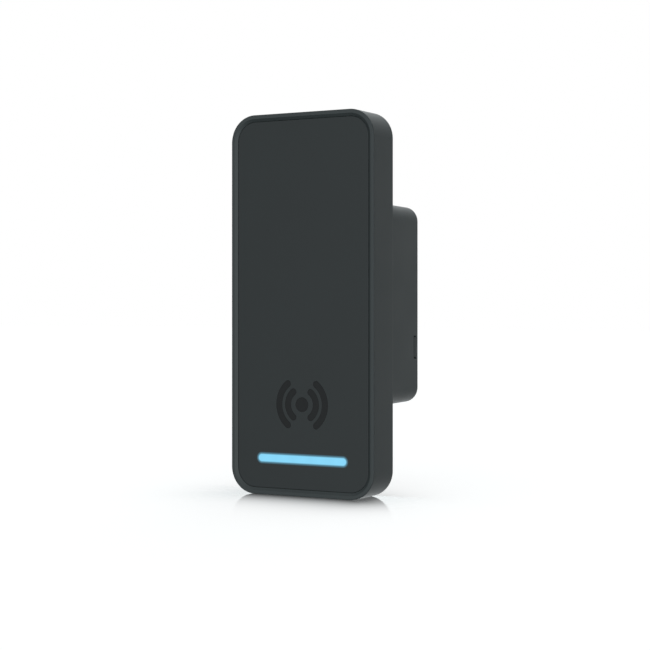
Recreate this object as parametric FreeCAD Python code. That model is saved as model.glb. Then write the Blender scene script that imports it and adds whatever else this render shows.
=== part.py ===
"""Wall-mounted RFID card reader.

A tall slab with a raised rim, a recessed radio-transparent panel and a light bar stands in front of a
shallower rear box that goes into the wall. The upper half of the rear box holds the network jack and the
power parts. The lower half is the wiring bay, closed by a push-in cover.

Frame: millimetres, +Z up, +X to the right seen from the front, the front faces -Y. The origin is the
centre of the bracket screw pattern, in the plane where the slab meets the wall (y = 0).
"""

import FreeCAD, Part
import math
import os

Vector = FreeCAD.Vector

# ---------------------------------------------------------------- driving dimensions, in millimetres

# Slab: outline and walls
slab_width = 51.0
slab_height = 120.0
slab_corner = 8.4
side_wall = 1.6
seal_ledge = 1.0
front_edge_round = 0.3
rim_width = 1.2
rim_slope = 0.9
seat_gap = 0.1

# Slab: the stack from the rim back to the wall plane, which adds up to the slab's depth
panel_recess = 0.6
panel_thickness = 1.6
adhesive_thickness = 0.2
tray_thickness = 1.0
coil_gap = 0.1
coil_thickness = 0.1
antenna_thickness = 0.8
ferrite_thickness = 0.3
front_component_room = 1.5
board_thickness = 1.2
rear_component_room = 3.2
plate_thickness = 2.4

# Small clearances shared by many fits
press_gap = 0.05
thread_gap = 0.1
screw_gap = 0.15
head_gap = 0.2

# Panel details
panel_gap = 0.05
panel_edge_bevel = 0.1
bar_length = 32.0
bar_height = 2.9
bar_from_bottom = 11.55
symbol_from_bottom = 28.7
symbol_dot_radius = 2.3
symbol_ring_radii = (5.0, 8.2)
symbol_stroke = 2.2
symbol_half_angle = 52.0
symbol_depth = 0.2
symbol_sink = 0.05

# Light path
lens_gap = 0.05
lens_flange = 1.3
lens_flange_thickness = 1.0
guide_lip = 1.0
guide_to_led = 0.3
shroud_wall = 0.45
led_size = (1.6, 0.6, 0.8)
led_count = 5
led_pitch = 6.0

# Rear box
module_side_inset = 0.6
module_height = 63.5
module_depth = 20.0
module_corner = 5.0
module_draft = 0.35
module_wall = 1.7
rear_wall = 1.6
partition_wall = 1.6
bay_floor_thickness = 1.2
bay_height = 32.6
bay_corner = 2.4
throat_inset = 1.0
bay_floor_overlap = 1.1
bay_floor_to_ledge = 0.2
rear_edge_round = 0.4
tongue_height = 7.5
tongue_drop = 0.3
tongue_length = 1.8
tongue_from_rear = 1.5
tongue_slot = 0.55
tongue_sink = 0.04

# Wiring cover
cover_thickness = 1.6
cover_ledge = 0.75
cover_gap = 0.1
cover_gasket_thickness = 0.4
skirt_depth = 3.0
skirt_wall = 1.2
cover_travel_gap = 0.15

# Cable grommet in the cover
cable_bore_radius = 2.75
grommet_web_radius = 5.5
grommet_flange = 1.7
grommet_web = 0.8
grommet_inner_flange = 1.2
grommet_sleeve = 3.7
grommet_tip_wall = 0.9
grommet_root_wall = 1.7
grommet_to_screw = 1.05

# Fasteners
housing_screw_radius = 1.0
housing_head_radius = 2.0
housing_head_height = 1.2
housing_head_sink = 0.2
housing_screw_length = 6.8
housing_boss_radius = 2.4
housing_boss_side_inset = 1.9
housing_boss_end_inset = 1.2
housing_pilot_floor = 0.8
board_screw_radius = 0.8
board_head_radius = 1.5
board_head_height = 0.9
board_post_radius = 1.9
board_post_z = 36.0
board_pilot_floor = 0.2
board_hole_margin = 1.3
cover_screw_radius = 1.1
cover_head_radius = 2.1
cover_head_height = 1.1
cover_head_sink = 0.1
cover_screw_length = 9.8
cover_boss_radius = 2.8
cover_boss_wall_gap = 0.3
cover_boss_reach = 0.2
cover_boss_gap = 0.2
cover_thread_room = 0.6

# Bracket interfaces
bracket_spacing = 83.3
insert_radius = 2.2
insert_bore_radius = 1.25
bracket_insert_length = 4.1
security_insert_length = 4.0
insert_wall = 1.3
insert_end_wall = 0.5
security_end_wall = 0.8

# Boards
board_side_gap = 0.9
board_boss_gap = 0.2
board_to_plunger = 2.5
board_corner = 1.2
antenna_post_gap = 0.3
antenna_to_shroud = 3.0
antenna_inset = 0.3
coil_track = 0.8
coil_pitch = 1.6
coil_turns = 4
coil_margin = 1.2
ferrite_inset = 0.8
ferrite_from_bottom = 1.5
ferrite_from_top = 6.5

# Board parts, as (x, z, width, height, thickness)
front_chips = [(-3.0, 14.0, 7.0, 7.0, 0.9), (9.0, -20.0, 5.0, 6.0, 0.8)]
rear_chips = [(3.0, -12.0, 9.0, 9.0, 1.0), (13.0, -6.0, 5.0, 4.0, 1.1), (-11.0, -5.0, 4.0, 4.0, 0.8)]
shield_place = (-3.0, 14.0)
shield_size = (23.0, 26.0)
shield_sheet = 0.2
capacitor_size = (1.6, 0.8, 0.7)
capacitor_grid = (6, 2)
capacitor_pitch = (2.4, 2.2)
capacitor_start = (-4.5, -20.0)
antenna_chip_size = (5.2, 2.0, 1.1)
antenna_chip_x = -13.0
contact_strip = 0.15
contact_width = 1.2
contact_length = 2.4
contact_from_top = 2.2
contact_x = 3.0
buzzer_size = 9.0
buzzer_port_radius = 1.2
buzzer_to_boss = 4.0
buzzer_gap = 0.6

# Power parts beside the jack
power_gap = 1.5
transformer_width = 11.0
transformer_length = 13.0
transformer_base = 1.0
transformer_height = 9.0
transformer_core = 1.0
winding_inset = 1.0
inductor_size = 7.0
inductor_height = 4.0
can_radius = 3.15
can_height = 7.7
can_base = 0.8
can_base_rim = 0.25
can_pitch = 8.6
part_to_partition = 1.6

# Network jack
jack_width = 16.0
jack_height = 13.5
jack_length = 16.0
jack_sheet = 0.25
plug_width = 11.9
plug_height = 7.1
plug_depth = 12.3
plug_floor = 3.15
plug_window_gap = 0.8
latch_window_gap = 0.4
latch_width = 6.2
latch_height = 2.3
latch_depth = 7.3
contact_count = 8
contact_pitch = 1.016
contact_size = 0.3
contact_rise = 1.5
contact_start = 1.5
contact_foot = 0.8

# Buttons
button_radius = 1.5
button_gap = 0.1
reset_travel = 0.4
reset_stand_out = 0.8
reset_flange_radius = 2.3
reset_switch_height = 0.75
tamper_travel = 1.6
tamper_flange_radius = 2.2
tamper_flange_thickness = 0.8
tamper_from_top = 5.6
spring_wire_radius = 0.2
spring_radius = 1.65
spring_turns = 5.5
spring_pin_radius = 1.1
spring_pin_length = 1.0
plunger_tip_round = 0.5
tamper_switch_size = (4.7, 3.5, 1.5)
tamper_switch_inset = 0.55
blade_width = 2.0
blade_thickness = 0.15
blade_gap = 0.05
blade_to_spring = 0.2
reset_from_side = 8.7
reset_from_bottom = 6.5
reset_switch_size = 4.5

# Breathable patch over the sound port
vent_radius = 4.0
vent_thickness = 0.15
vent_recess = 0.2
sound_port_radius = 0.75

# Blank rating label on the closed half of the rear box
label_width = 36.0
label_height = 17.0
label_lift = 0.6
label_recess = 0.15
label_thickness = 0.1

# ---------------------------------------------------------------- worked-out places

# Levels along Y, from the wall plane forward
plate_front = -plate_thickness
board_back = plate_front - rear_component_room
board_front = board_back - board_thickness
ferrite_back = board_front - front_component_room
antenna_back = ferrite_back - ferrite_thickness
antenna_front = antenna_back - antenna_thickness
coil_front = antenna_front - coil_thickness
tray_back = coil_front - coil_gap
tray_front = tray_back - tray_thickness
panel_back = tray_front - adhesive_thickness
panel_face = panel_back - panel_thickness
slab_front = panel_face - panel_recess
ledge_level = plate_front - seal_ledge

# Outlines of the slab
slab_bottom = -slab_height / 2
slab_top = slab_height / 2
rim_total = rim_width + rim_slope
cavity_width = slab_width - 2 * side_wall
cavity_height = slab_height - 2 * side_wall
cavity_corner = slab_corner - side_wall
inner_width = cavity_width - 2 * seal_ledge
inner_height = cavity_height - 2 * seal_ledge
inner_corner = cavity_corner - seal_ledge
pocket_width = slab_width - 2 * rim_total
pocket_height = slab_height - 2 * rim_total
pocket_corner = slab_corner - rim_total

# Light bar and symbol
bar_z = slab_bottom + bar_from_bottom
symbol_z = slab_bottom + symbol_from_bottom
flange_length = bar_length + 2 * lens_flange
flange_height = bar_height + 2 * lens_flange
guide_length = bar_length + 2 * guide_lip
guide_height = bar_height + 2 * guide_lip
lens_flange_back = panel_back + lens_flange_thickness
shroud_length = guide_length + 2 * (seat_gap + shroud_wall)
shroud_height = guide_height + 2 * (seat_gap + shroud_wall)

# Housing screws stand in the corners, clear of the seal
housing_screw_x = inner_width / 2 - housing_boss_radius - housing_boss_side_inset
housing_screw_z = inner_height / 2 - housing_boss_radius - housing_boss_end_inset
housing_screw_seat = -(housing_head_height + housing_head_sink)

# Boards
board_width = inner_width - 2 * board_side_gap
board_bottom = -(housing_screw_z - housing_boss_radius - board_boss_gap)
board_top = slab_top - tamper_from_top - tamper_flange_radius - board_to_plunger
board_post_x = board_width / 2 - board_screw_radius - board_hole_margin
antenna_width = 2 * (board_post_x - board_post_radius - antenna_post_gap)
antenna_bottom = bar_z + shroud_height / 2 + antenna_to_shroud
antenna_top = board_top - antenna_inset

# Rear box
module_width = slab_width - 2 * module_side_inset
module_rear_width = module_width - 2 * module_draft
module_rear_height = module_height - 2 * module_draft
chamber_width = module_rear_width - 2 * module_wall
chamber_top = module_rear_height / 2 - module_wall
bay_bottom = -chamber_top
bay_top = bay_bottom + bay_height
chamber_bottom = bay_top + partition_wall
bay_z = (bay_bottom + bay_top) / 2
throat_width = chamber_width - 2 * throat_inset
bay_floor = plate_front
bay_floor_front = bay_floor - bay_floor_thickness
rear_wall_front = module_depth - rear_wall
tongue_back = module_depth - tongue_from_rear
tongue_front = tongue_back - tongue_length

# Wiring cover
cover_back = module_depth
cover_front = cover_back - cover_thickness
cover_seat = cover_front - cover_gasket_thickness
seat_width = chamber_width + 2 * cover_ledge
seat_height = bay_height + 2 * cover_ledge
seat_corner = bay_corner + cover_ledge
skirt_end = cover_front - skirt_depth
cover_screw_z = bay_bottom + cover_boss_radius + cover_boss_wall_gap
cover_boss_front = skirt_end - cover_boss_reach
bay_boss_end = cover_boss_front - cover_boss_gap
cover_screw_seat = cover_back - cover_head_height - cover_head_sink
grommet_radius = grommet_web_radius + grommet_flange
grommet_z = cover_screw_z + cover_head_radius + screw_gap + grommet_to_screw + seat_gap + grommet_radius

# Jack
jack_z0 = chamber_bottom + seat_gap
jack_z1 = jack_z0 + jack_length
jack_y0 = board_back
jack_y1 = jack_y0 + jack_height
plug_y0 = jack_y0 + plug_floor
plug_y1 = plug_y0 + plug_height

# Buttons
reset_x = -(chamber_width / 2 - reset_from_side)
reset_z = bay_bottom + reset_from_bottom
tamper_z = slab_top - tamper_from_top
tamper_flange_front = plate_front - button_gap - tamper_flange_thickness

# Bracket inserts and sound port
bracket_z = bracket_spacing / 2
security_y = (tray_back + ledge_level) / 2
buzzer_x = -(insert_radius + insert_wall + buzzer_to_boss + buzzer_size / 2)
buzzer_z = -bracket_z


# ---------------------------------------------------------------- shape helpers


def box(x0, x1, y0, y1, z0, z1):
    """Block between two corners."""
    return Part.makeBox(x1 - x0, y1 - y0, z1 - z0, Vector(x0, y0, z0))


def block(x, z, width, height, y0, y1):
    """Block standing on the XZ point (x, z), from y0 to y1."""
    return box(x - width / 2, x + width / 2, y0, y1, z - height / 2, z + height / 2)


def rod(x, z, radius, y0, y1):
    """Cylinder along Y."""
    return Part.makeCylinder(radius, y1 - y0, Vector(x, y0, z), Vector(0, 1, 0))


def tube(x, z, outer, inner, y0, y1):
    """Ring along Y."""
    return rod(x, z, outer, y0, y1).cut(rod(x, z, inner, y0, y1))


def cone(x, z, radius0, radius1, y0, y1):
    """Cone along Y, radius0 at y0."""
    return Part.makeCone(radius0, radius1, y1 - y0, Vector(x, y0, z), Vector(0, 1, 0))


def rounded_wire(width, height, radius, y, z=0.0, x=0.0):
    """Rounded rectangle in the plane at y, as straight edges and arcs."""
    half_w, half_h = width / 2, height / 2
    edges = []
    corners = [(1, 1, 0), (-1, 1, 90), (-1, -1, 180), (1, -1, 270)]
    for index, (sx, sz, start) in enumerate(corners):
        cx, cz = x + sx * (half_w - radius), z + sz * (half_h - radius)
        points = []
        for turn in (0, 45, 90):
            angle = math.radians(start + turn)
            points.append(Vector(cx + radius * math.cos(angle), y, cz + radius * math.sin(angle)))
        edges.append(Part.Arc(*points).toShape())
        nx, nz, next_start = corners[(index + 1) % 4]
        angle = math.radians(next_start)
        following = Vector(
            x + nx * (half_w - radius) + radius * math.cos(angle),
            y,
            z + nz * (half_h - radius) + radius * math.sin(angle),
        )
        if following.distanceToPoint(points[-1]) > 1e-6:
            edges.append(Part.LineSegment(points[-1], following).toShape())
    return Part.Wire(edges)


def plate(width, height, radius, y0, y1, z=0.0, x=0.0):
    """Rounded rectangle extruded from y0 to y1."""
    face = Part.Face(rounded_wire(width, height, radius, y0, z, x))
    return face.extrude(Vector(0, y1 - y0, 0))


def capsule(length, height, y0, y1, z, x=0.0):
    """Bar with round ends, extruded from y0 to y1."""
    return plate(length, height, height / 2, y0, y1, z, x)


def frame_ring(width, height, radius, wall, y0, y1, z=0.0):
    """Rounded rectangular ring: its outer size, and the wall's thickness."""
    inner = plate(width - 2 * wall, height - 2 * wall, radius - wall, y0, y1, z)
    return plate(width, height, radius, y0, y1, z).cut(inner)


def tapered(width0, height0, radius0, y0, width1, height1, radius1, y1, z=0.0):
    """Solid between two rounded rectangles."""
    wires = [
        rounded_wire(width0, height0, radius0, y0, z),
        rounded_wire(width1, height1, radius1, y1, z),
    ]
    return Part.makeLoft(wires, True, True)


def fuse(shapes):
    """One solid from several that touch or overlap."""
    result = shapes[0].multiFuse(shapes[1:]) if len(shapes) > 1 else shapes[0]
    return result.removeSplitter()


def group(shapes):
    """Separate solids kept in one node."""
    return Part.makeCompound(shapes)


def edges_at(shape, y, reach_x):
    """Edges that lie in the plane at y and touch or pass |x| = reach_x or the matching outline."""
    found = []
    for edge in shape.Edges:
        bounds = edge.BoundBox
        flat = abs(bounds.YMin - y) < 1e-4 and abs(bounds.YMax - y) < 1e-4
        if flat and reach_x(bounds):
            found.append(edge)
    return found


def mirrored_points(x, z):
    """The four corners at (+-x, +-z)."""
    return [(sx * x, sz * z) for sx in (1, -1) for sz in (1, -1)]


# ---------------------------------------------------------------- front of the slab


def outer_edge(width, height):
    """Test for edges on the outline of a plate of this size."""

    def on_outline(bounds):
        outside_x = max(abs(bounds.XMin), abs(bounds.XMax)) > width / 2 - slab_corner
        outside_z = max(abs(bounds.ZMin), abs(bounds.ZMax)) > height / 2 - slab_corner
        return outside_x or outside_z

    return on_outline


def front_housing():
    """Moulded shell: raised rim, tray behind the panel, side walls, bosses and posts."""
    shell = plate(slab_width, slab_height, slab_corner, slab_front, 0)
    edges = edges_at(shell, slab_front, outer_edge(slab_width, slab_height))
    shell = shell.makeFillet(front_edge_round, edges)
    rim_opening = tapered(
        slab_width - 2 * rim_width,
        slab_height - 2 * rim_width,
        slab_corner - rim_width,
        slab_front,
        pocket_width,
        pocket_height,
        pocket_corner,
        panel_face,
    )
    shell = shell.cut(rim_opening)
    shell = shell.cut(plate(pocket_width, pocket_height, pocket_corner, panel_face, tray_front))
    shell = shell.cut(plate(inner_width, inner_height, inner_corner, tray_back, ledge_level))
    shell = shell.cut(plate(cavity_width, cavity_height, cavity_corner, ledge_level, 0))
    window_length = flange_length + 2 * seat_gap
    window_height = flange_height + 2 * seat_gap
    shell = shell.cut(capsule(window_length, window_height, tray_front, tray_back, bar_z))
    additions = [shell]
    for x, z in mirrored_points(housing_screw_x, housing_screw_z):
        additions.append(rod(x, z, housing_boss_radius, tray_back, plate_front))
    for x, z in mirrored_points(board_post_x, board_post_z):
        additions.append(rod(x, z, board_post_radius, tray_back, board_front))
    additions.append(rod(0, tamper_z, spring_pin_radius, tray_back, tray_back + spring_pin_length))
    boss_radius = insert_radius + insert_wall
    boss_top = slab_bottom + security_insert_length + security_end_wall
    boss_base = slab_bottom + side_wall
    boss = Part.makeCylinder(boss_radius, boss_top - boss_base, Vector(0, security_y, boss_base))
    keep = box(-boss_radius, boss_radius, tray_back, ledge_level, boss_base, boss_top)
    additions.append(boss.common(keep))
    additions.append(box(-boss_radius, boss_radius, tray_back, security_y, boss_base, boss_top))
    shell = fuse(additions)
    for x, z in mirrored_points(housing_screw_x, housing_screw_z):
        pilot = housing_screw_radius + press_gap
        shell = shell.cut(rod(x, z, pilot, tray_back + housing_pilot_floor, plate_front))
    for x, z in mirrored_points(board_post_x, board_post_z):
        pilot = board_screw_radius + press_gap
        shell = shell.cut(rod(x, z, pilot, tray_back + board_pilot_floor, board_front))
    hole = Part.makeCylinder(insert_radius, security_insert_length, Vector(0, security_y, slab_bottom))
    return shell.cut(hole)


def symbol_shapes(y0, y1, shrink=0.0):
    """Dot with two arcs on each side: the generic sign for radio waves."""
    shapes = [rod(0, symbol_z, symbol_dot_radius - shrink, y0, y1)]
    half_stroke = symbol_stroke / 2 - shrink
    for radius in symbol_ring_radii:
        for middle in (0, 180):
            shapes.append(arc_stroke(radius, half_stroke, middle, y0, y1))
    return shapes


def arc_stroke(radius, half_stroke, middle, y0, y1):
    """Round-ended arc of the symbol, about its centre."""

    def at(distance, angle):
        turn = math.radians(angle)
        return Vector(distance * math.cos(turn), y0, symbol_z + distance * math.sin(turn))

    start, end = middle - symbol_half_angle, middle + symbol_half_angle
    outer, inner = radius + half_stroke, radius - half_stroke
    cap = math.degrees(half_stroke / radius)
    edges = [
        Part.Arc(at(outer, start), at(outer, middle), at(outer, end)).toShape(),
        Part.Arc(at(outer, end), at(radius, end + cap), at(inner, end)).toShape(),
        Part.Arc(at(inner, end), at(inner, middle), at(inner, start)).toShape(),
        Part.Arc(at(inner, start), at(radius, start - cap), at(outer, start)).toShape(),
    ]
    return Part.Face(Part.Wire(edges)).extrude(Vector(0, y1 - y0, 0))


def front_panel():
    """Radio-transparent panel, with the slot of the light bar and the recess of the symbol."""
    width, height = pocket_width - 2 * panel_gap, pocket_height - 2 * panel_gap
    panel = plate(width, height, pocket_corner - panel_gap, panel_face, panel_back)
    edges = edges_at(panel, panel_face, outer_edge(width, height))
    panel = panel.makeChamfer(panel_edge_bevel, edges)
    panel = panel.cut(capsule(bar_length, bar_height, panel_face, panel_back, bar_z))
    for shape in symbol_shapes(panel_face, panel_face + symbol_depth):
        panel = panel.cut(shape)
    return panel


def panel_adhesive():
    """Sheet of adhesive that holds the panel on the tray, open behind the light bar."""
    inset = 0.8
    sheet = plate(
        pocket_width - 2 * inset,
        pocket_height - 2 * inset,
        pocket_corner - inset,
        panel_back,
        tray_front,
    )
    length, height = flange_length + 2 * seat_gap, flange_height + 2 * seat_gap
    opening = capsule(length, height, panel_back, tray_front, bar_z)
    return sheet.cut(opening)


def reader_symbol():
    """Inlay in the panel's recess."""
    return group(symbol_shapes(panel_face + symbol_sink, panel_face + symbol_depth, 0.02))


# ---------------------------------------------------------------- light path


def light_bar_lens():
    """Milky diffuser: it fills the panel's slot and has a flange behind the panel."""
    length, height = bar_length - 2 * lens_gap, bar_height - 2 * lens_gap
    face = capsule(length, height, panel_face, panel_back, bar_z)
    flange = capsule(flange_length, flange_height, panel_back, lens_flange_back, bar_z)
    return fuse([face, flange])


def light_guide():
    """Clear bar that spreads the light of the LEDs behind the diffuser."""
    end = board_front - led_size[1] - guide_to_led
    return capsule(guide_length, guide_height, lens_flange_back, end, bar_z)


def led_shroud():
    """Opaque frame round the light guide, from the tray to the board."""
    outer = capsule(shroud_length, shroud_height, tray_back, board_front, bar_z)
    inner_length, inner_height = guide_length + 2 * seat_gap, guide_height + 2 * seat_gap
    return outer.cut(capsule(inner_length, inner_height, tray_back, board_front, bar_z))


def status_leds():
    """Row of LEDs on the front of the board."""
    width, thickness, height = led_size
    first = -(led_count - 1) / 2 * led_pitch
    leds = []
    for index in range(led_count):
        x = first + index * led_pitch
        leds.append(block(x, bar_z, width, height, board_front - thickness, board_front))
    return group(leds)


# ---------------------------------------------------------------- antenna and board


def antenna_board():
    """Thin board that carries the reading coil."""
    height = antenna_top - antenna_bottom
    z = (antenna_top + antenna_bottom) / 2
    return plate(antenna_width, height, board_corner, antenna_front, antenna_back, z)


def antenna_coil():
    """Flat rectangular spiral of copper track on the front of the antenna board."""
    half_w = antenna_width / 2 - coil_margin
    top, bottom = antenna_top - coil_margin, antenna_bottom + coil_margin
    points = [(-half_w, bottom)]
    for turn in range(coil_turns):
        inset = turn * coil_pitch
        points.append((-half_w + inset, top - inset))
        points.append((half_w - inset, top - inset))
        points.append((half_w - inset, bottom + inset))
        points.append((-half_w + inset + coil_pitch, bottom + inset))
    half = coil_track / 2
    pieces = []
    for (x0, z0), (x1, z1) in zip(points, points[1:]):
        pieces.append(
            box(
                min(x0, x1) - half,
                max(x0, x1) + half,
                coil_front,
                antenna_front,
                min(z0, z1) - half,
                max(z0, z1) + half,
            )
        )
    return fuse(pieces)


def ferrite_sheet():
    """Sheet that keeps the field off the metal behind it."""
    top, bottom = antenna_top - ferrite_from_top, antenna_bottom + ferrite_from_bottom
    width = antenna_width - 2 * ferrite_inset
    return plate(width, top - bottom, board_corner / 2, antenna_back, ferrite_back, (top + bottom) / 2)


def antenna_contacts():
    """Two bent spring contacts between the antenna board and the main board."""
    z = antenna_top - contact_from_top
    low, high = z - contact_length / 2, z + contact_length / 2
    foot_front = board_front - contact_strip
    contacts = []
    for side in (1, -1):
        x0 = side * contact_x - contact_width / 2
        foot = box(x0, x0 + contact_width, foot_front, board_front, low, high)
        blade = Part.makePolygon(
            [
                Vector(x0, foot_front, high),
                Vector(x0, foot_front, high - 2 * contact_strip),
                Vector(x0, antenna_back, low),
                Vector(x0, antenna_back, low + 3 * contact_strip),
                Vector(x0, foot_front, high),
            ]
        )
        contacts.append(fuse([foot, Part.Face(blade).extrude(Vector(contact_width, 0, 0))]))
    return group(contacts)


def main_board():
    """Main circuit board, screwed to the tray's posts."""
    height, z = board_top - board_bottom, (board_top + board_bottom) / 2
    board = plate(board_width, height, board_corner, board_front, board_back, z)
    for x, z in mirrored_points(board_post_x, board_post_z):
        board = board.cut(rod(x, z, board_screw_radius + head_gap, board_front, board_back))
    return board


def shield_can():
    """Pressed metal can over the radio parts, open towards the board."""
    x, z = shield_place
    width, height = shield_size
    top = ferrite_back + shield_sheet
    can = plate(width, height, board_corner, top, board_front, z, x)
    room = plate(
        width - 2 * shield_sheet,
        height - 2 * shield_sheet,
        board_corner - shield_sheet,
        top + shield_sheet,
        board_front,
        z,
        x,
    )
    return can.cut(room)


def processor_chips():
    """Black chip packages on the front and the back of the board."""
    chips = []
    for x, z, width, height, thickness in front_chips:
        chips.append(block(x, z, width, height, board_front - thickness, board_front))
    for x, z, width, height, thickness in rear_chips:
        chips.append(block(x, z, width, height, board_back, board_back + thickness))
    return group(chips)


def chip_capacitors():
    """Rows of small ceramic capacitors beside the chips."""
    width, height, thickness = capacitor_size
    columns, rows = capacitor_grid
    parts = []
    for row in range(rows):
        for column in range(columns):
            x = capacitor_start[0] + column * capacitor_pitch[0]
            z = capacitor_start[1] - row * capacitor_pitch[1]
            parts.append(block(x, z, width, height, board_back, board_back + thickness))
    return group(parts)


def bluetooth_antenna():
    """Ceramic chip antenna near the top edge of the board."""
    width, height, thickness = antenna_chip_size
    z = board_top - board_hole_margin - height / 2
    return block(antenna_chip_x, z, width, height, board_front - thickness, board_front)


def buzzer():
    """Square sounder with a round port facing the back plate."""
    top = plate_front - buzzer_gap
    body = plate(buzzer_size, buzzer_size, board_corner, board_back, top, buzzer_z, buzzer_x)
    port_depth = (top - board_back) / 2
    return body.cut(rod(buzzer_x, buzzer_z, buzzer_port_radius, top - port_depth, top))


def poe_transformer():
    """Isolation transformer of the power supply: a bobbin between two core plates."""
    x = jack_width / 2 + power_gap + transformer_width / 2
    z = chamber_bottom + part_to_partition + transformer_length / 2
    base_top = board_back + transformer_base
    core_top = board_back + transformer_height
    core_start = core_top - transformer_core
    core_length = transformer_length - 2 * winding_inset
    winding_width = transformer_width - 2 * winding_inset
    winding_length = core_length - 2 * winding_inset
    base = block(x, z, transformer_width, transformer_length, board_back, base_top)
    winding = plate(winding_width, winding_length, 2 * winding_inset, base_top, core_start, z, x)
    core = block(x, z, transformer_width, core_length, core_start, core_top)
    leg_z = (core_length - winding_inset) / 2
    legs = [
        block(x, z + side * leg_z, transformer_width, winding_inset, base_top, core_start) for side in (1, -1)
    ]
    return fuse([base, winding, core] + legs)


def power_inductor():
    """Shielded inductor of the power supply."""
    x = jack_width / 2 + power_gap + transformer_width / 2
    z = chamber_bottom + part_to_partition + transformer_length + power_gap + inductor_size / 2
    top = board_back + inductor_height
    body = plate(inductor_size, inductor_size, inductor_size / 4, board_back, top, z, x)
    return fuse([body, rod(x, z, 0.36 * inductor_size, top, top + 0.1 * inductor_height)])


def electrolytic_capacitors():
    """Two can capacitors on their square bases."""
    base_size = 2 * (can_radius + can_base_rim)
    x = -(jack_width / 2 + 2 * power_gap + base_size / 2)
    cans = []
    for step in range(2):
        z = chamber_bottom + part_to_partition + base_size / 2 + step * can_pitch
        base = block(x, z, base_size, base_size, board_back, board_back + can_base)
        can = rod(x, z, can_radius, board_back + can_base, board_back + can_height)
        cans.append(fuse([base, can]))
    return group(cans)


# ---------------------------------------------------------------- network jack


def rj45_shell():
    """Folded metal shield, open at the mouth."""
    half = jack_width / 2
    outer = box(-half, half, jack_y0, jack_y1, jack_z0, jack_z1)
    inner = box(
        -half + jack_sheet,
        half - jack_sheet,
        jack_y0,
        jack_y1 - jack_sheet,
        jack_z0,
        jack_z1 - jack_sheet,
    )
    return outer.cut(inner)


def rj45_insert():
    """Plastic body with the plug's cavity and the notch of its latch."""
    half = jack_width / 2 - jack_sheet
    body = box(-half, half, jack_y0, jack_y1 - jack_sheet, jack_z0, jack_z1 - jack_sheet)
    half_plug, half_latch = plug_width / 2, latch_width / 2
    body = body.cut(box(-half_plug, half_plug, plug_y0, plug_y1, jack_z0, jack_z0 + plug_depth))
    latch_top = plug_y1 + latch_height
    return body.cut(box(-half_latch, half_latch, plug_y1, latch_top, jack_z0, jack_z0 + latch_depth))


def rj45_contacts():
    """Eight sloping contact springs on the side of the cavity away from the latch."""
    first = -(contact_count - 1) / 2 * contact_pitch
    start, end = jack_z0 + contact_start, jack_z0 + plug_depth
    top = plug_y0 + contact_rise
    contacts = []
    for index in range(contact_count):
        x = first + index * contact_pitch - contact_size / 2
        outline = Part.makePolygon(
            [
                Vector(x, plug_y0, start),
                Vector(x, plug_y0, start + contact_foot),
                Vector(x, top, end),
                Vector(x, top + contact_size, end),
                Vector(x, plug_y0 + contact_size, start),
                Vector(x, plug_y0, start),
            ]
        )
        contacts.append(Part.Face(outline).extrude(Vector(contact_size, 0, 0)))
    return group(contacts)


# ---------------------------------------------------------------- back housing


def module_outside():
    """Outer form of the rear box, with draft towards its rear face."""
    body = tapered(
        module_width,
        module_height,
        module_corner,
        0,
        module_rear_width,
        module_rear_height,
        module_corner - module_draft / 2,
        module_depth,
    )
    rear_edges = edges_at(body, module_depth, lambda bounds: True)
    return body.makeFillet(rear_edge_round, rear_edges)


def tongue_slots():
    """U-shaped slots outside the seal: each frees a sunk snap tongue in a side wall."""
    root = seat_width / 2
    middle = (tongue_front + tongue_back) / 2
    face = module_width / 2 - module_draft * middle / module_depth - tongue_sink
    tongue_z = bay_z - tongue_drop
    low, high = tongue_z - tongue_height / 2, tongue_z + tongue_height / 2
    cut = box(root, slab_width / 2, tongue_front, tongue_back, low, high)
    tongue = box(root, face, tongue_front + tongue_slot, tongue_back, low + tongue_slot, high - tongue_slot)
    slot = cut.cut(tongue)
    return slot.fuse(slot.mirror(Vector(0, 0, 0), Vector(1, 0, 0)))


def chamber(z0, z1, y0, y1, width, corner):
    """Cavity of the rear box between two heights."""
    return plate(width, z1 - z0, corner, y0, y1, (z0 + z1) / 2)


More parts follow.
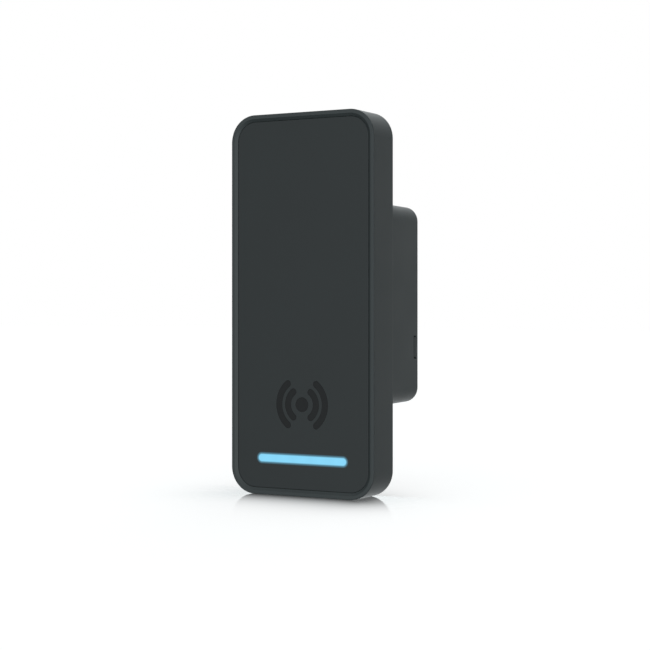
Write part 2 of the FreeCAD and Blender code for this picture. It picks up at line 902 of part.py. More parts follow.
def back_housing():
    """Back plate of the slab with the rear box: closed chamber above, wiring bay below."""
    base = plate(
        cavity_width - 2 * seat_gap,
        cavity_height - 2 * seat_gap,
        cavity_corner - seat_gap,
        plate_front,
        0,
    )
    body = fuse([base, module_outside()])
    for z0, z1, y1 in ((chamber_bottom, chamber_top, rear_wall_front), (bay_bottom, bay_top, module_depth)):
        body = body.cut(chamber(z0, z1, plate_front, 0, throat_width, bay_corner))
        body = body.cut(chamber(z0, z1, 0, y1, chamber_width, bay_corner))
    floor = plate(
        inner_width - 2 * bay_floor_to_ledge,
        bay_height + 2 * bay_floor_overlap,
        bay_corner,
        bay_floor_front,
        plate_front,
        bay_z,
    )
    boss_front = -(bracket_insert_length + insert_end_wall)
    boss_radius = insert_radius + insert_wall
    bosses = [rod(0, side * bracket_z, boss_radius, boss_front, plate_front) for side in (1, -1)]
    bay_boss = rod(0, cover_screw_z, cover_boss_radius, bay_floor, bay_boss_end)
    wall = bay_bottom - module_wall / 2
    foot = box(-cover_boss_radius, cover_boss_radius, bay_floor, bay_boss_end, wall, cover_screw_z)
    body = fuse([body, floor, bay_boss, foot] + bosses)
    body = body.cut(plate(seat_width, seat_height, seat_corner, cover_seat, module_depth, bay_z))
    half_window = plug_width / 2 + plug_window_gap
    window_y0, window_y1 = plug_y0 - head_gap, plug_y1 + latch_height + latch_window_gap
    window_z0, window_z1 = bay_top - seat_gap, chamber_bottom + seat_gap
    body = body.cut(box(-half_window, half_window, window_y0, window_y1, window_z0, window_z1))
    body = body.cut(tongue_slots())
    for x, z in mirrored_points(housing_screw_x, housing_screw_z):
        body = body.cut(rod(x, z, housing_screw_radius + screw_gap, plate_front, 0))
        body = body.cut(rod(x, z, housing_head_radius + head_gap, housing_screw_seat, 0))
    for side in (1, -1):
        body = body.cut(rod(0, side * bracket_z, insert_radius, -bracket_insert_length, 0))
    body = body.cut(rod(reset_x, reset_z, button_radius + button_gap, bay_floor_front, bay_floor))
    body = body.cut(rod(0, tamper_z, button_radius + button_gap, plate_front, 0))
    thread = cover_screw_radius + thread_gap
    thread_end = cover_screw_seat - cover_screw_length - cover_thread_room
    body = body.cut(rod(0, cover_screw_z, thread, thread_end, bay_boss_end))
    body = body.cut(rod(buzzer_x, buzzer_z, sound_port_radius, plate_front, 0))
    body = body.cut(rod(buzzer_x, buzzer_z, vent_radius + seat_gap, -vent_recess, 0))
    return body.cut(label_plate(seat_gap, module_depth - label_recess, module_depth))


def housing_gasket():
    """Seal between the shell's ledge and the back plate."""
    gap = seat_gap
    outer_w, outer_h = cavity_width - 2 * gap, cavity_height - 2 * gap
    return frame_ring(outer_w, outer_h, cavity_corner - gap, seal_ledge - 2 * gap, ledge_level, plate_front)


def vent_membrane():
    """Breathable patch over the sound port."""
    return rod(buzzer_x, buzzer_z, vent_radius, -vent_recess, -vent_recess + vent_thickness)


def label_plate(grow, y0, y1):
    """Plate of the label's outline, made larger all round by grow."""
    z = (chamber_bottom + chamber_top) / 2 + label_lift
    corner = board_corner + grow
    return plate(label_width + 2 * grow, label_height + 2 * grow, corner, y0, y1, z)


def rating_label():
    """Blank label in its recess."""
    y0 = module_depth - label_recess
    return label_plate(0.0, y0, y0 + label_thickness)


# ---------------------------------------------------------------- wiring cover


def wiring_cover():
    """Push-in cover of the wiring bay, with a skirt and a screw boss."""
    gap = cover_gap
    width, height = seat_width - 2 * gap, seat_height - 2 * gap
    lid = plate(width, height, seat_corner - gap, cover_front, cover_back, bay_z)
    skirt_gap = cover_travel_gap
    skirt = frame_ring(
        chamber_width - 2 * skirt_gap,
        bay_height - 2 * skirt_gap,
        bay_corner - skirt_gap,
        skirt_wall,
        skirt_end,
        cover_front,
        bay_z,
    )
    boss = rod(0, cover_screw_z, cover_boss_radius - seat_gap, cover_boss_front, cover_front)
    cover = fuse([lid, skirt, boss])
    cover = cover.cut(rod(0, cover_screw_z, cover_screw_radius + press_gap, cover_boss_front, cover_back))
    cover = cover.cut(rod(0, cover_screw_z, cover_head_radius + screw_gap, cover_screw_seat, cover_back))
    cover = cover.cut(rod(0, grommet_z, grommet_web_radius, cover_front, cover_back))
    flange_seat = cover_front + grommet_web
    return cover.cut(rod(0, grommet_z, grommet_radius + seat_gap, flange_seat, cover_back))


def cover_gasket():
    """Flat seal under the cover's edge."""
    gap = cover_gap
    return frame_ring(
        seat_width - 2 * gap,
        seat_height - 2 * gap,
        seat_corner - gap,
        cover_ledge - 2 * gap,
        cover_seat,
        cover_front,
        bay_z,
    )


def cable_grommet():
    """Rubber gland in the cover: a flange on each side of the web, and a tapered sleeve inside."""
    web_back = cover_front + grommet_web
    inner_front = cover_front - grommet_inner_flange
    sleeve_front = inner_front - grommet_sleeve
    sleeve_tip_radius = cable_bore_radius + grommet_tip_wall
    sleeve_root_radius = cable_bore_radius + grommet_root_wall
    body = fuse(
        [
            rod(0, grommet_z, grommet_radius, web_back, cover_back),
            rod(0, grommet_z, grommet_web_radius, cover_front, web_back),
            rod(0, grommet_z, grommet_radius, inner_front, cover_front),
            cone(0, grommet_z, sleeve_tip_radius, sleeve_root_radius, sleeve_front, inner_front),
        ]
    )
    return body.cut(rod(0, grommet_z, cable_bore_radius, sleeve_front, cover_back))


def cover_screw():
    """Screw that holds the cover."""
    size = (cover_screw_radius, cover_head_radius, cover_head_height, cover_screw_length)
    return screw(0, cover_screw_z, size, cover_screw_seat)


# ---------------------------------------------------------------- fasteners and inserts


def screw(x, z, size, seat):
    """Pan-head screw along Y with a hexagon socket: its head stands behind the seat."""
    radius, head_radius, head_height, length = size
    head = rod(x, z, head_radius, seat, seat + head_height)
    rim = [edge for edge in head.Edges if edge.BoundBox.YMin > seat + head_height / 2]
    head = head.makeFillet(0.3 * head_height, rim)
    shank = rod(x, z, radius, seat - length, seat)
    body = fuse([head, shank])
    corners = []
    reach, floor = 0.5 * head_radius, seat + 0.4 * head_height
    for corner in range(7):
        angle = math.radians(60 * corner)
        corners.append(Vector(x + reach * math.cos(angle), floor, z + reach * math.sin(angle)))
    socket = Part.Face(Part.makePolygon(corners))
    return body.cut(socket.extrude(Vector(0, head_height, 0)))


def housing_screws():
    """Four screws through the back plate into the shell."""
    size = (housing_screw_radius, housing_head_radius, housing_head_height, housing_screw_length)
    places = mirrored_points(housing_screw_x, housing_screw_z)
    return group([screw(x, z, size, housing_screw_seat) for x, z in places])


def board_screws():
    """Four screws through the board into the tray's posts."""
    length = board_back - tray_back - 2 * board_pilot_floor
    size = (board_screw_radius, board_head_radius, board_head_height, length)
    return group([screw(x, z, size, board_back) for x, z in mirrored_points(board_post_x, board_post_z)])


def bracket_inserts():
    """Two brass inserts in the back plate, for the wall bracket's screws."""
    return group(
        [
            tube(0, side * bracket_z, insert_radius, insert_bore_radius, -bracket_insert_length, 0)
            for side in (1, -1)
        ]
    )


def security_insert():
    """Brass insert in the bottom edge, for the bracket's locking screw."""
    base = Vector(0, security_y, slab_bottom)
    outer = Part.makeCylinder(insert_radius, security_insert_length, base)
    return outer.cut(Part.makeCylinder(insert_bore_radius, security_insert_length, base))


# ---------------------------------------------------------------- buttons


def reset_switch():
    """Low dome switch on the board behind the reset button."""
    top = board_back + reset_switch_height
    return plate(reset_switch_size, reset_switch_size, board_corner / 2, board_back, top, reset_z, reset_x)


def reset_button():
    """Button in the floor of the wiring bay."""
    flange_back = bay_floor_front - button_gap
    flange_front = board_back + reset_switch_height + blade_gap + reset_travel
    flange = rod(reset_x, reset_z, reset_flange_radius, flange_front, flange_back)
    stem = rod(reset_x, reset_z, button_radius, flange_back, bay_floor + reset_stand_out)
    return fuse([flange, stem])


def tamper_plunger():
    """Plunger that the wall pushes in, with a flange inside and a spigot for its spring."""
    flange_back = tamper_flange_front + tamper_flange_thickness
    stem = rod(0, tamper_z, button_radius, flange_back, tamper_travel)
    tip = [edge for edge in stem.Edges if edge.BoundBox.YMin > tamper_travel / 2]
    stem = stem.makeFillet(plunger_tip_round, tip)
    flange = rod(0, tamper_z, tamper_flange_radius, tamper_flange_front, flange_back)
    spigot_end = tamper_flange_front - spring_pin_length
    spigot = rod(0, tamper_z, spring_pin_radius, spigot_end, tamper_flange_front)
    return fuse([stem, flange, spigot])


def tamper_switch():
    """Switch at the top edge of the board, with a blade that reaches under the plunger's flange."""
    width, height, thickness = tamper_switch_size
    z = board_top - tamper_switch_inset - height / 2
    body = block(0, z, width, height, board_back, board_back + thickness)
    blade_back = tamper_flange_front - tamper_travel - blade_gap
    blade_top = tamper_z - spring_radius - spring_wire_radius - blade_to_spring
    blade = box(-blade_width / 2, blade_width / 2, blade_back - blade_thickness, blade_back, z, blade_top)
    return fuse([body, blade])


def tamper_spring():
    """Compression spring between the tray and the plunger's flange."""
    start = tray_back + spring_wire_radius
    end = tamper_flange_front - spring_wire_radius
    length = end - start
    helix = Part.makeHelix(length / spring_turns, length, spring_radius)
    helix.Placement = FreeCAD.Placement(Vector(0, start, tamper_z), FreeCAD.Rotation(Vector(1, 0, 0), -90))
    origin = Vector(spring_radius, start, tamper_z)
    profile = Part.Wire([Part.makeCircle(spring_wire_radius, origin, Vector(0, 0, 1))])
    return Part.Wire(helix.Edges).makePipeShell([profile], True, True)


# ---------------------------------------------------------------- output

NODES = {
    "front_housing": front_housing,
    "front_panel": front_panel,
    "panel_adhesive": panel_adhesive,
    "reader_symbol": reader_symbol,
    "light_bar_lens": light_bar_lens,
    "light_guide": light_guide,
    "led_shroud": led_shroud,
    "status_leds": status_leds,
    "antenna_board": antenna_board,
    "antenna_coil": antenna_coil,
    "ferrite_sheet": ferrite_sheet,
    "antenna_contacts": antenna_contacts,
    "main_board": main_board,
    "shield_can": shield_can,
    "processor_chips": processor_chips,
    "chip_capacitors": chip_capacitors,
    "bluetooth_antenna": bluetooth_antenna,
    "buzzer": buzzer,
    "poe_transformer": poe_transformer,
    "power_inductor": power_inductor,
    "electrolytic_capacitors": electrolytic_capacitors,
    "rj45_shell": rj45_shell,
    "rj45_insert": rj45_insert,
    "rj45_contacts": rj45_contacts,
    "back_housing": back_housing,
    "housing_gasket": housing_gasket,
    "vent_membrane": vent_membrane,
    "rating_label": rating_label,
    "wiring_cover": wiring_cover,
    "cover_gasket": cover_gasket,
    "cable_grommet": cable_grommet,
    "cover_screw": cover_screw,
    "housing_screws": housing_screws,
    "board_screws": board_screws,
    "bracket_inserts": bracket_inserts,
    "security_insert": security_insert,
    "reset_switch": reset_switch,
    "reset_button": reset_button,
    "tamper_plunger": tamper_plunger,
    "tamper_switch": tamper_switch,
    "tamper_spring": tamper_spring,
}


def main():
    """Writes one STEP file for each node."""
    os.makedirs("parts", exist_ok=True)
    for name, make in NODES.items():
        shape = make()
        if not shape.isValid() or not shape.Solids:
            raise RuntimeError(name + " is not a valid solid")
        shape.exportStep("parts/" + name + ".step")
        bounds = shape.BoundBox
        print(
            f"{name}: {len(shape.Solids)} solid(s), {shape.Volume:.1f} mm3,"
            f" x {bounds.XMin:.2f}..{bounds.XMax:.2f}, y {bounds.YMin:.2f}..{bounds.YMax:.2f},"
            f" z {bounds.ZMin:.2f}..{bounds.ZMax:.2f}"
        )


main()
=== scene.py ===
"""Looks of a wall-mounted RFID card reader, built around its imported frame.

Metres, +Z up. The front faces -Y and the rear box goes into the wall along +Y.
"""

import math

import bmesh
import bpy
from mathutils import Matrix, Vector


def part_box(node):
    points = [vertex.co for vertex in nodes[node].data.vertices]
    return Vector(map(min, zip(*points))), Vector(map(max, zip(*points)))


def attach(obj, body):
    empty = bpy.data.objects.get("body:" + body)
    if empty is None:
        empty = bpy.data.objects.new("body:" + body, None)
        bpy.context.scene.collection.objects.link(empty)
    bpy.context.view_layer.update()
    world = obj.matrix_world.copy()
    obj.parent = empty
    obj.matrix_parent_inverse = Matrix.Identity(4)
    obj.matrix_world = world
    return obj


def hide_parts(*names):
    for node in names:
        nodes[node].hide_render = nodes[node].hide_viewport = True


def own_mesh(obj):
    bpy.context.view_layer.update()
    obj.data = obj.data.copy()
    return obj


bl_info = {
    "name": "RFID Card Reader",
    "version": (1, 0, 0),
    "blender": (4, 5, 0),
    "location": "View3D > Sidebar > Card Reader",
    "description": "Finishes, fasteners and small parts of a wall-mounted card reader, with its studio",
    "category": "Object",
}

MM = 0.001
HOUSING = "housing"
COVER = "wiring_cover"
MERGE = 0.0005 * MM
FULL_TURN = 2 * math.pi
BLACK = (0.0, 0.0, 0.0)
WHITE = (1.0, 1.0, 1.0, 1.0)

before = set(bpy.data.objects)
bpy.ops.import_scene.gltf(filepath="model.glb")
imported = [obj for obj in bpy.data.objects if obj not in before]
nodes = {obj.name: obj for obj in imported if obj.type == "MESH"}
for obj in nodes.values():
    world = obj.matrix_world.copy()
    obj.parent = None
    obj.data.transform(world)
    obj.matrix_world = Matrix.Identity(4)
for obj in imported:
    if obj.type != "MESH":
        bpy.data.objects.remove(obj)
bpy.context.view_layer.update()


def centre(node):
    """Middle of a frame node's box."""
    low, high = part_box(node)
    return (low + high) / 2


def size(node):
    """Edge lengths of a frame node's box."""
    low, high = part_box(node)
    return high - low


def solids(node):
    """Boxes of the separate solids in a frame node, from left to right."""
    mesh = bmesh.new()
    mesh.from_mesh(nodes[node].data)
    bmesh.ops.remove_doubles(mesh, verts=mesh.verts, dist=0.001 * MM)
    waiting, boxes = set(mesh.verts), []
    while waiting:
        edge, found = [waiting.pop()], []
        while edge:
            vertex = edge.pop()
            found.append(vertex.co.copy())
            near = {link.other_vert(vertex) for link in vertex.link_edges} & waiting
            waiting -= near
            edge.extend(near)
        low = Vector([min(co[axis] for co in found) for axis in range(3)])
        high = Vector([max(co[axis] for co in found) for axis in range(3)])
        boxes.append((low, high))
    mesh.free()
    return sorted(boxes, key=lambda pair: (pair[0].x, pair[0].z))


# ---------------- settings


def colour_setting(name, default, description):
    """Linear colour that the user can change."""
    return bpy.props.FloatVectorProperty(
        name=name, description=description, subtype="COLOR", size=3, min=0.0, max=1.0, default=default
    )


def length_setting(name, default, description):
    """Length in metres that the user can change."""
    return bpy.props.FloatProperty(
        name=name, description=description, default=default, min=0.0, precision=5,
        subtype="DISTANCE", unit="LENGTH"
    )


def number_setting(name, default, description):
    """Plain number that the user can change."""
    return bpy.props.FloatProperty(name=name, description=description, min=0.0, default=default)


class ReaderColours(bpy.types.PropertyGroup):
    """Colours of the reader's finishes."""

    shell: colour_setting("Shell", (0.0285, 0.0370, 0.0385), "Graphite of the moulded front shell")
    panel: colour_setting("Panel", (0.0168, 0.0220, 0.0232), "Graphite of the front panel")
    module: colour_setting("Rear box", (0.0275, 0.0365, 0.0375), "Graphite of the rear box and its cover")
    symbol: colour_setting("Symbol", (0.0085, 0.0098, 0.0105), "Dark gloss inlay of the radio symbol")
    light: colour_setting("Light", (0.23, 0.68, 0.96), "Glow of the status light")
    solder_mask: colour_setting("Board", (0.006, 0.035, 0.022), "Solder mask of the boards")
    copper: colour_setting("Copper", (0.62, 0.27, 0.13), "Bare copper track")
    gold: colour_setting("Gold plate", (0.80, 0.56, 0.20), "Plated contacts")
    brass: colour_setting("Brass", (0.62, 0.43, 0.17), "Threaded inserts")
    steel: colour_setting("Steel", (0.48, 0.48, 0.49), "Bright screws, springs and shields")
    rubber: colour_setting("Rubber", (0.012, 0.012, 0.0125), "Seals and grommet")
    label: colour_setting("Label", (0.52, 0.53, 0.53), "Blank rating label")


class ReaderSizes(bpy.types.PropertyGroup):
    """Sizes of details that the frame leaves open."""

    light_edge: length_setting("Light edge", 0.55 * MM, "Width over which the light bar fades at its edge")
    light_bleed: length_setting("Light bleed", 0.5 * MM, "Width of the lit rim of the panel's slot")
    light_power: number_setting("Light power", 0.98, "Strength of the status light")
    grain: length_setting("Mould grain", 0.22 * MM, "Size of the grain of moulded surfaces")
    edge_width: length_setting("Edge wear", 0.25 * MM, "Width of the polished edges")
    edge_round: length_setting("Edge round", 0.12 * MM, "Softening of moulded edges")
    machine_pitch: length_setting("Machine thread pitch", 0.45 * MM, "Pitch of the screws' threads")
    spring_wire: length_setting("Spring wire", 0.4 * MM, "Wire thickness of the tamper spring")
    spring_turns: number_setting("Spring turns", 6.5, "Turns of the tamper spring, closed ends included")


class ReaderStudio(bpy.types.PropertyGroup):
    """Camera and lights."""

    azimuth: bpy.props.FloatProperty(
        name="Azimuth", description="Camera's angle to the right of the front", subtype="ANGLE",
        default=math.radians(29.8),
    )
    distance: length_setting("Distance", 0.4994, "Camera's distance from the middle of the front face")
    focal_length: bpy.props.FloatProperty(
        name="Focal length", description="Lens of the camera", subtype="DISTANCE_CAMERA", default=88.74
    )
    shift_x: bpy.props.FloatProperty(name="Shift X", description="Sideways lens shift", default=0.0371)
    shift_y: bpy.props.FloatProperty(name="Shift Y", description="Upward lens shift", default=-0.0316)
    front_light: number_setting("Front light", 1.22, "Brightness of the soft light in front of the reader")
    right_light: number_setting("Right light", 0.9, "Brightness of the soft light to the front and right")
    left_light: number_setting("Left light", 0.14, "Brightness of the weak light on the left")
    back_light: number_setting("Back light", 2.5, "Brightness of the bright backdrop behind the reader")
    room_light: number_setting("Room light", 0.09, "Even brightness of the rest of the studio")
    top_light: number_setting("Top light", 0.55, "Extra brightness overhead")


def choices():
    """The user's colours and sizes."""
    scene = bpy.context.scene
    return scene.reader_colours, scene.reader_sizes


# ---------------- node tools
#
# A value is a number, a vector, a colour, a socket, or a node, which stands for its first output.


def wire(node, key, value):
    """Links a value to an input of a node, or sets the input to it."""
    if isinstance(value, bpy.types.Node):
        value = value.outputs[0]
    if isinstance(value, bpy.types.NodeSocket):
        node.id_data.links.new(value, node.inputs[key])
    else:
        node.inputs[key].default_value = value


def put(tree, kind, inputs=None, **settings):
    """Adds a node, sets its properties and fills or links its inputs."""
    node = tree.nodes.new(kind)
    for key, value in settings.items():
        setattr(node, key, value)
    for key, value in (inputs or {}).items():
        wire(node, key, value)
    return node


def home(*values):
    """Tree of the first node or socket among some values."""
    kinds = (bpy.types.Node, bpy.types.NodeSocket)
    return next(value.id_data for value in values if isinstance(value, kinds))


def maths(operation, *values, clamp=False):
    """Math node; returns its output."""
    inputs = dict(enumerate(values))
    return put(home(*values), "ShaderNodeMath", inputs, operation=operation, use_clamp=clamp).outputs[0]


def plus(first, second):
    """Sum of two values."""
    return maths("ADD", first, second)


def minus(first, second, clamp=False):
    """Difference of two values."""
    return maths("SUBTRACT", first, second, clamp=clamp)


def times(first, second, clamp=False):
    """Product of two values."""
    return maths("MULTIPLY", first, second, clamp=clamp)


def over(first, second):
    """One value divided by another."""
    return maths("DIVIDE", first, second)


def past(value, limit):
    """How far a value's size goes past a limit, or 0."""
    return maths("MAXIMUM", minus(maths("ABSOLUTE", value), limit), 0.0)


def hypotenuse(first, second):
    """Length of the vector with two components."""
    return maths("SQRT", plus(maths("POWER", first, 2.0), maths("POWER", second, 2.0)))


def spread(value, low, high, to_low=0.0, to_high=1.0, smooth=False):
    """Map Range node; returns its output."""
    inputs = {"Value": value, "From Min": low, "From Max": high, "To Min": to_low, "To Max": to_high}
    kind = "SMOOTHSTEP" if smooth else "LINEAR"
    return put(home(value), "ShaderNodeMapRange", inputs, interpolation_type=kind).outputs["Result"]


def mixed(factor, first, second):
    """Colour mix; returns its output."""
    node = put(home(factor), "ShaderNodeMix", {0: factor}, data_type="RGBA")
    for index, value in ((6, first), (7, second)):
        wire(node, index, value if isinstance(value, bpy.types.NodeSocket) else (*value[:3], 1.0))
    return node.outputs[2]


def noise(vector, per_metre, detail=2.0, roughness=0.5):
    """Noise texture on object coordinates; returns its value."""
    inputs = {"Vector": vector, "Scale": per_metre, "Detail": detail, "Roughness": roughness}
    return put(home(vector), "ShaderNodeTexNoise", inputs).outputs[0]


def split(vector):
    """The three components of a vector."""
    return put(home(vector), "ShaderNodeSeparateXYZ", {"Vector": vector}).outputs


def object_place(tree):
    """Object coordinates, which are the frame's own metres."""
    return put(tree, "ShaderNodeTexCoord").outputs["Object"]


def once(name):
    """Makes a function build a node group on its first call, and hand out the same one after that."""
    return lambda build: lambda: bpy.data.node_groups.get(name) or build(name)


def group_ends(tree):
    """Puts in a group's two ends; returns the tree, its inputs and its output node."""
    return tree, tree.nodes.new("NodeGroupInput").outputs, tree.nodes.new("NodeGroupOutput")


def new_group(name, outputs, **numbers):
    """Shader group that takes a place and some numbers; returns what group_ends does."""
    tree = bpy.data.node_groups.new(name, "ShaderNodeTree")
    add = tree.interface.new_socket
    add("Place", in_out="INPUT", socket_type="NodeSocketVector")
    for label, default in numbers.items():
        add(label.replace("_", " "), in_out="INPUT", socket_type="NodeSocketFloat").default_value = default
    for label in outputs:
        add(label, in_out="OUTPUT", socket_type="NodeSocketFloat")
    return group_ends(tree)


def fill(node, **inputs):
    """Fills inputs of a node, named with _ for each space."""
    for key, value in inputs.items():
        wire(node, key.replace("_", " "), value)


def place_group(group, place, **numbers):
    """Puts a shader group in the tree that a place comes from; returns its outputs."""
    node = put(home(place), "ShaderNodeGroup", node_tree=group)
    fill(node, Place=place, **numbers)
    return node.outputs


# ---------------- shared shader groups


@once("Moulded Grain")
def grain_group(name):
    """Fine spark-eroded grain of a mould, with broad unevenness of colour and gloss."""
    tree, given, result = new_group(name, ("Height", "Unevenness", "Speckle"), Grain_Size=0.2 * MM)
    per_metre = over(1.0, given["Grain Size"])
    fine = noise(given["Place"], per_metre, 3.0)
    pits = put(tree, "ShaderNodeTexVoronoi", {"Vector": given["Place"], "Scale": per_metre})
    broad = noise(given["Place"], 45.0, 3.0)
    wire(result, "Height", maths("MULTIPLY_ADD", pits, 0.5, fine))
    wire(result, "Unevenness", spread(broad, 0.3, 0.7))
    wire(result, "Speckle", spread(fine, 0.35, 0.65))
    return tree


@once("Edge Wear")
def edge_group(name):
    """Edges where handling has polished the surface, broken up by noise."""
    tree, given, result = new_group(name, ("Edge",), Width=0.3 * MM)
    soft = put(tree, "ShaderNodeBevel", {"Radius": given["Width"]}, samples=6)
    flat = put(tree, "ShaderNodeNewGeometry").outputs["Normal"]
    agree = put(tree, "ShaderNodeVectorMath", {0: soft, 1: flat}, operation="DOT_PRODUCT").outputs["Value"]
    patches = spread(noise(given["Place"], 260.0, 4.0, 0.6), 0.35, 0.62)
    wire(result, "Edge", times(spread(agree, 0.995, 0.80), patches, clamp=True))
    return tree


@once("Settled Dust")
def dust_group(name):
    """Thin dust that settles on what faces up."""
    tree, given, result = new_group(name, ("Dust",))
    up = split(put(tree, "ShaderNodeNewGeometry").outputs["Normal"])[2]
    motes = spread(noise(given["Place"], 900.0, 4.0, 0.7), 0.5, 0.75)
    film = spread(noise(given["Place"], 60.0), 0.3, 0.8, 0.2, 0.7)
    wire(result, "Dust", times(spread(up, 0.35, 1.0), maths("MULTIPLY_ADD", motes, 0.6, film)))
    return tree


@once("Bar Distance")
def bar_group(name):
    """Distance from the outline of the light bar, negative inside it."""
    tree, given, result = new_group(name, ("Distance",), Half_Length=16 * MM, Half_Height=1.45 * MM)
    x, _, z = split(given["Place"])
    along = past(x, minus(given["Half Length"], given["Half Height"]))
    across = maths("ABSOLUTE", minus(z, centre("light_bar_lens").z))
    wire(result, "Distance", minus(hypotenuse(along, across), given["Half Height"]))
    return tree


# ---------------- materials


def new_material(name):
    """Material with a Principled shader; returns it, its shader and object coordinates."""
    material = bpy.data.materials.new(name)
    material.use_nodes = True
    tree = material.node_tree
    tree.nodes.clear()
    shader = tree.nodes.new("ShaderNodeBsdfPrincipled")
    put(tree, "ShaderNodeOutputMaterial", {"Surface": shader})
    return material, shader, object_place(tree)


def bumps(shader, height, strength, depth, **inputs):
    """Relief on a shader's surface."""
    inputs.update(Height=height, Strength=strength, Distance=depth)
    wire(shader, "Normal", put(shader.id_data, "ShaderNodeBump", inputs))


def scaled(colour, factor):
    """Colour made lighter or darker."""
    return tuple(min(1.0, channel * factor) for channel in colour[:3])


def bar_distance(place):
    """Distance from the outline of the light bar, which is the light guide without its flange."""
    flange = 1.0 * MM
    half = size("light_guide") / 2
    numbers = {"Half_Length": half.x - flange, "Half_Height": half.z - flange}
    return place_group(bar_group(), place, **numbers)["Distance"]


def moulded_plastic(name, colour, roughness, grain_depth=0.02 * MM, gloss=0.5, dust=0.12, wear=0.5):
    """Moulded plastic with mould grain, uneven gloss, softened and polished edges and a trace of dust."""
    sizes = bpy.context.scene.reader_sizes
    material, shader, place = new_material(name)
    grain = place_group(grain_group(), place, Grain_Size=sizes.grain)
    edges = place_group(edge_group(), place, Width=sizes.edge_width)["Edge"]
    dusty = place_group(dust_group(), place)["Dust"]
    body = mixed(grain["Unevenness"], scaled(colour, 0.94), scaled(colour, 1.06))
    speckled = mixed(times(grain["Speckle"], 0.25), body, scaled(colour, 1.25))
    worn = mixed(times(edges, wear), speckled, scaled(colour, 1.9))
    rough = spread(grain["Unevenness"], 0.0, 1.0, roughness - 0.03, roughness + 0.03)
    polished = maths("MULTIPLY_ADD", edges, -0.12 * wear, rough)
    fill(
        shader,
        Base_Color=mixed(times(dusty, dust), worn, (0.20, 0.20, 0.19)),
        Roughness=maths("MULTIPLY_ADD", dusty, 0.2 * dust, polished),
        Specular_IOR_Level=gloss,
    )
    soft = put(material.node_tree, "ShaderNodeBevel", {"Radius": sizes.edge_round}, samples=8)
    bumps(shader, grain["Height"], 0.35, grain_depth, Normal=soft)
    return material


def panel_plastic():
    """Smooth satin panel, lit along the rim of the light bar's slot."""
    colours, sizes = choices()
    satin = {"grain_depth": 0.004 * MM, "gloss": 0.42, "dust": 0.04, "wear": 0.35}
    material = moulded_plastic("panel_plastic", colours.panel, 0.36, **satin)
    distance = bar_distance(object_place(material.node_tree))
    glow = times(spread(distance, sizes.light_bleed, 0.0, smooth=True), 0.22)
    fill(
        material.node_tree.nodes["Principled BSDF"],
        Emission_Color=mixed(glow, BLACK, colours.light),
        Emission_Strength=sizes.light_power,
    )
    return material


def symbol_gloss():
    """Polished dark inlay with faint fingerprints in its gloss."""
    tone = bpy.context.scene.reader_colours.symbol
    material, shader, place = new_material("symbol_gloss")
    smears = spread(noise(place, 320.0, 4.0, 0.65), 0.4, 0.7)
    fill(
        shader,
        Base_Color=mixed(smears, tone, scaled(tone, 1.2)),
        Roughness=spread(smears, 0.0, 1.0, 0.13, 0.24),
        Specular_IOR_Level=0.26,
    )
    bumps(shader, noise(place, 700.0), 0.05, 0.01 * MM)
    return material


def light_diffuser():
    """Milky lens lit from behind: brightest along its middle, with the faint places of its LEDs."""
    colours, sizes = choices()
    material, shader, place = new_material("light_diffuser")
    inside = spread(bar_distance(place), 0.1 * MM, -sizes.light_edge, smooth=True)
    led_pitch = size("status_leds").x / 4
    wave = maths("COSINE", times(split(place)[0], FULL_TURN / led_pitch))
    spots = spread(wave, -1.0, 1.0, 0.97, 1.0)
    cloud = spread(noise(place, 800.0), 0.3, 0.7, 0.985, 1.0)
    level = times(times(inside, spots), cloud)
    fill(
        shader,
        Emission_Color=mixed(level, scaled(colours.light, 0.10), colours.light),
        Emission_Strength=sizes.light_power,
        Base_Color=mixed(cloud, (0.02, 0.022, 0.023), (0.03, 0.035, 0.036)),
        Roughness=spread(cloud, 0.98, 1.0, 0.42, 0.34),
        Specular_IOR_Level=0.3,
    )
    return material


def clear_acrylic():
    """Clear light guide with fine scattering haze."""
    material, shader, place = new_material("clear_acrylic")
    haze = noise(place, 500.0, 3.0)
    fill(
        shader,
        Base_Color=mixed(haze, (0.86, 0.90, 0.93), (0.95, 0.97, 0.98)),
        Roughness=spread(haze, 0.3, 0.7, 0.08, 0.18),
        Transmission_Weight=0.85,
        IOR=1.49,
    )
    return material


def plain_metal(name, colour, roughness, brushed_along=None, patina=0.15):
    """Metal with drawing or machining marks, uneven gloss and slight darkening."""
    material, shader, place = new_material(name)
    stretch = [1.0, 1.0, 1.0]
    if brushed_along is not None:
        stretch[brushed_along] = 0.06
    marks_place = put(material.node_tree, "ShaderNodeMapping", {"Vector": place, "Scale": stretch})
    marks = noise(marks_place, 5200.0, 3.0, 0.6)
    stains = spread(noise(place, 240.0, 4.0, 0.6), 0.4, 0.75)
    toned = mixed(times(stains, patina), colour, scaled(colour, 0.45))
    machined = spread(marks, 0.3, 0.7, roughness - 0.05, roughness + 0.07)
    fill(
        shader,
        Base_Color=mixed(times(marks, 0.2), toned, scaled(colour, 1.15)),
        Roughness=maths("MULTIPLY_ADD", stains, 0.10, machined),
        Metallic=1.0,
    )
    bumps(shader, marks, 0.25, 0.01 * MM)
    return material


def soft_rubber(name):
    """Matt rubber with a fine skin and a little bloom."""
    tone = bpy.context.scene.reader_colours.rubber
    material, shader, place = new_material(name)
    skin = noise(place, 4200.0, 3.0, 0.6)
    bloom = spread(noise(place, 170.0, 4.0, 0.6), 0.45, 0.8, 0.0, 0.5)
    dusty = place_group(dust_group(), place)["Dust"]
    fill(
        shader,
        Base_Color=mixed(times(dusty, 0.2), mixed(bloom, tone, scaled(tone, 2.2)), (0.18, 0.18, 0.17)),
        Roughness=spread(skin, 0.3, 0.7, 0.62, 0.80),
        Specular_IOR_Level=0.35,
    )
    bumps(shader, skin, 0.4, 0.012 * MM)
    return material


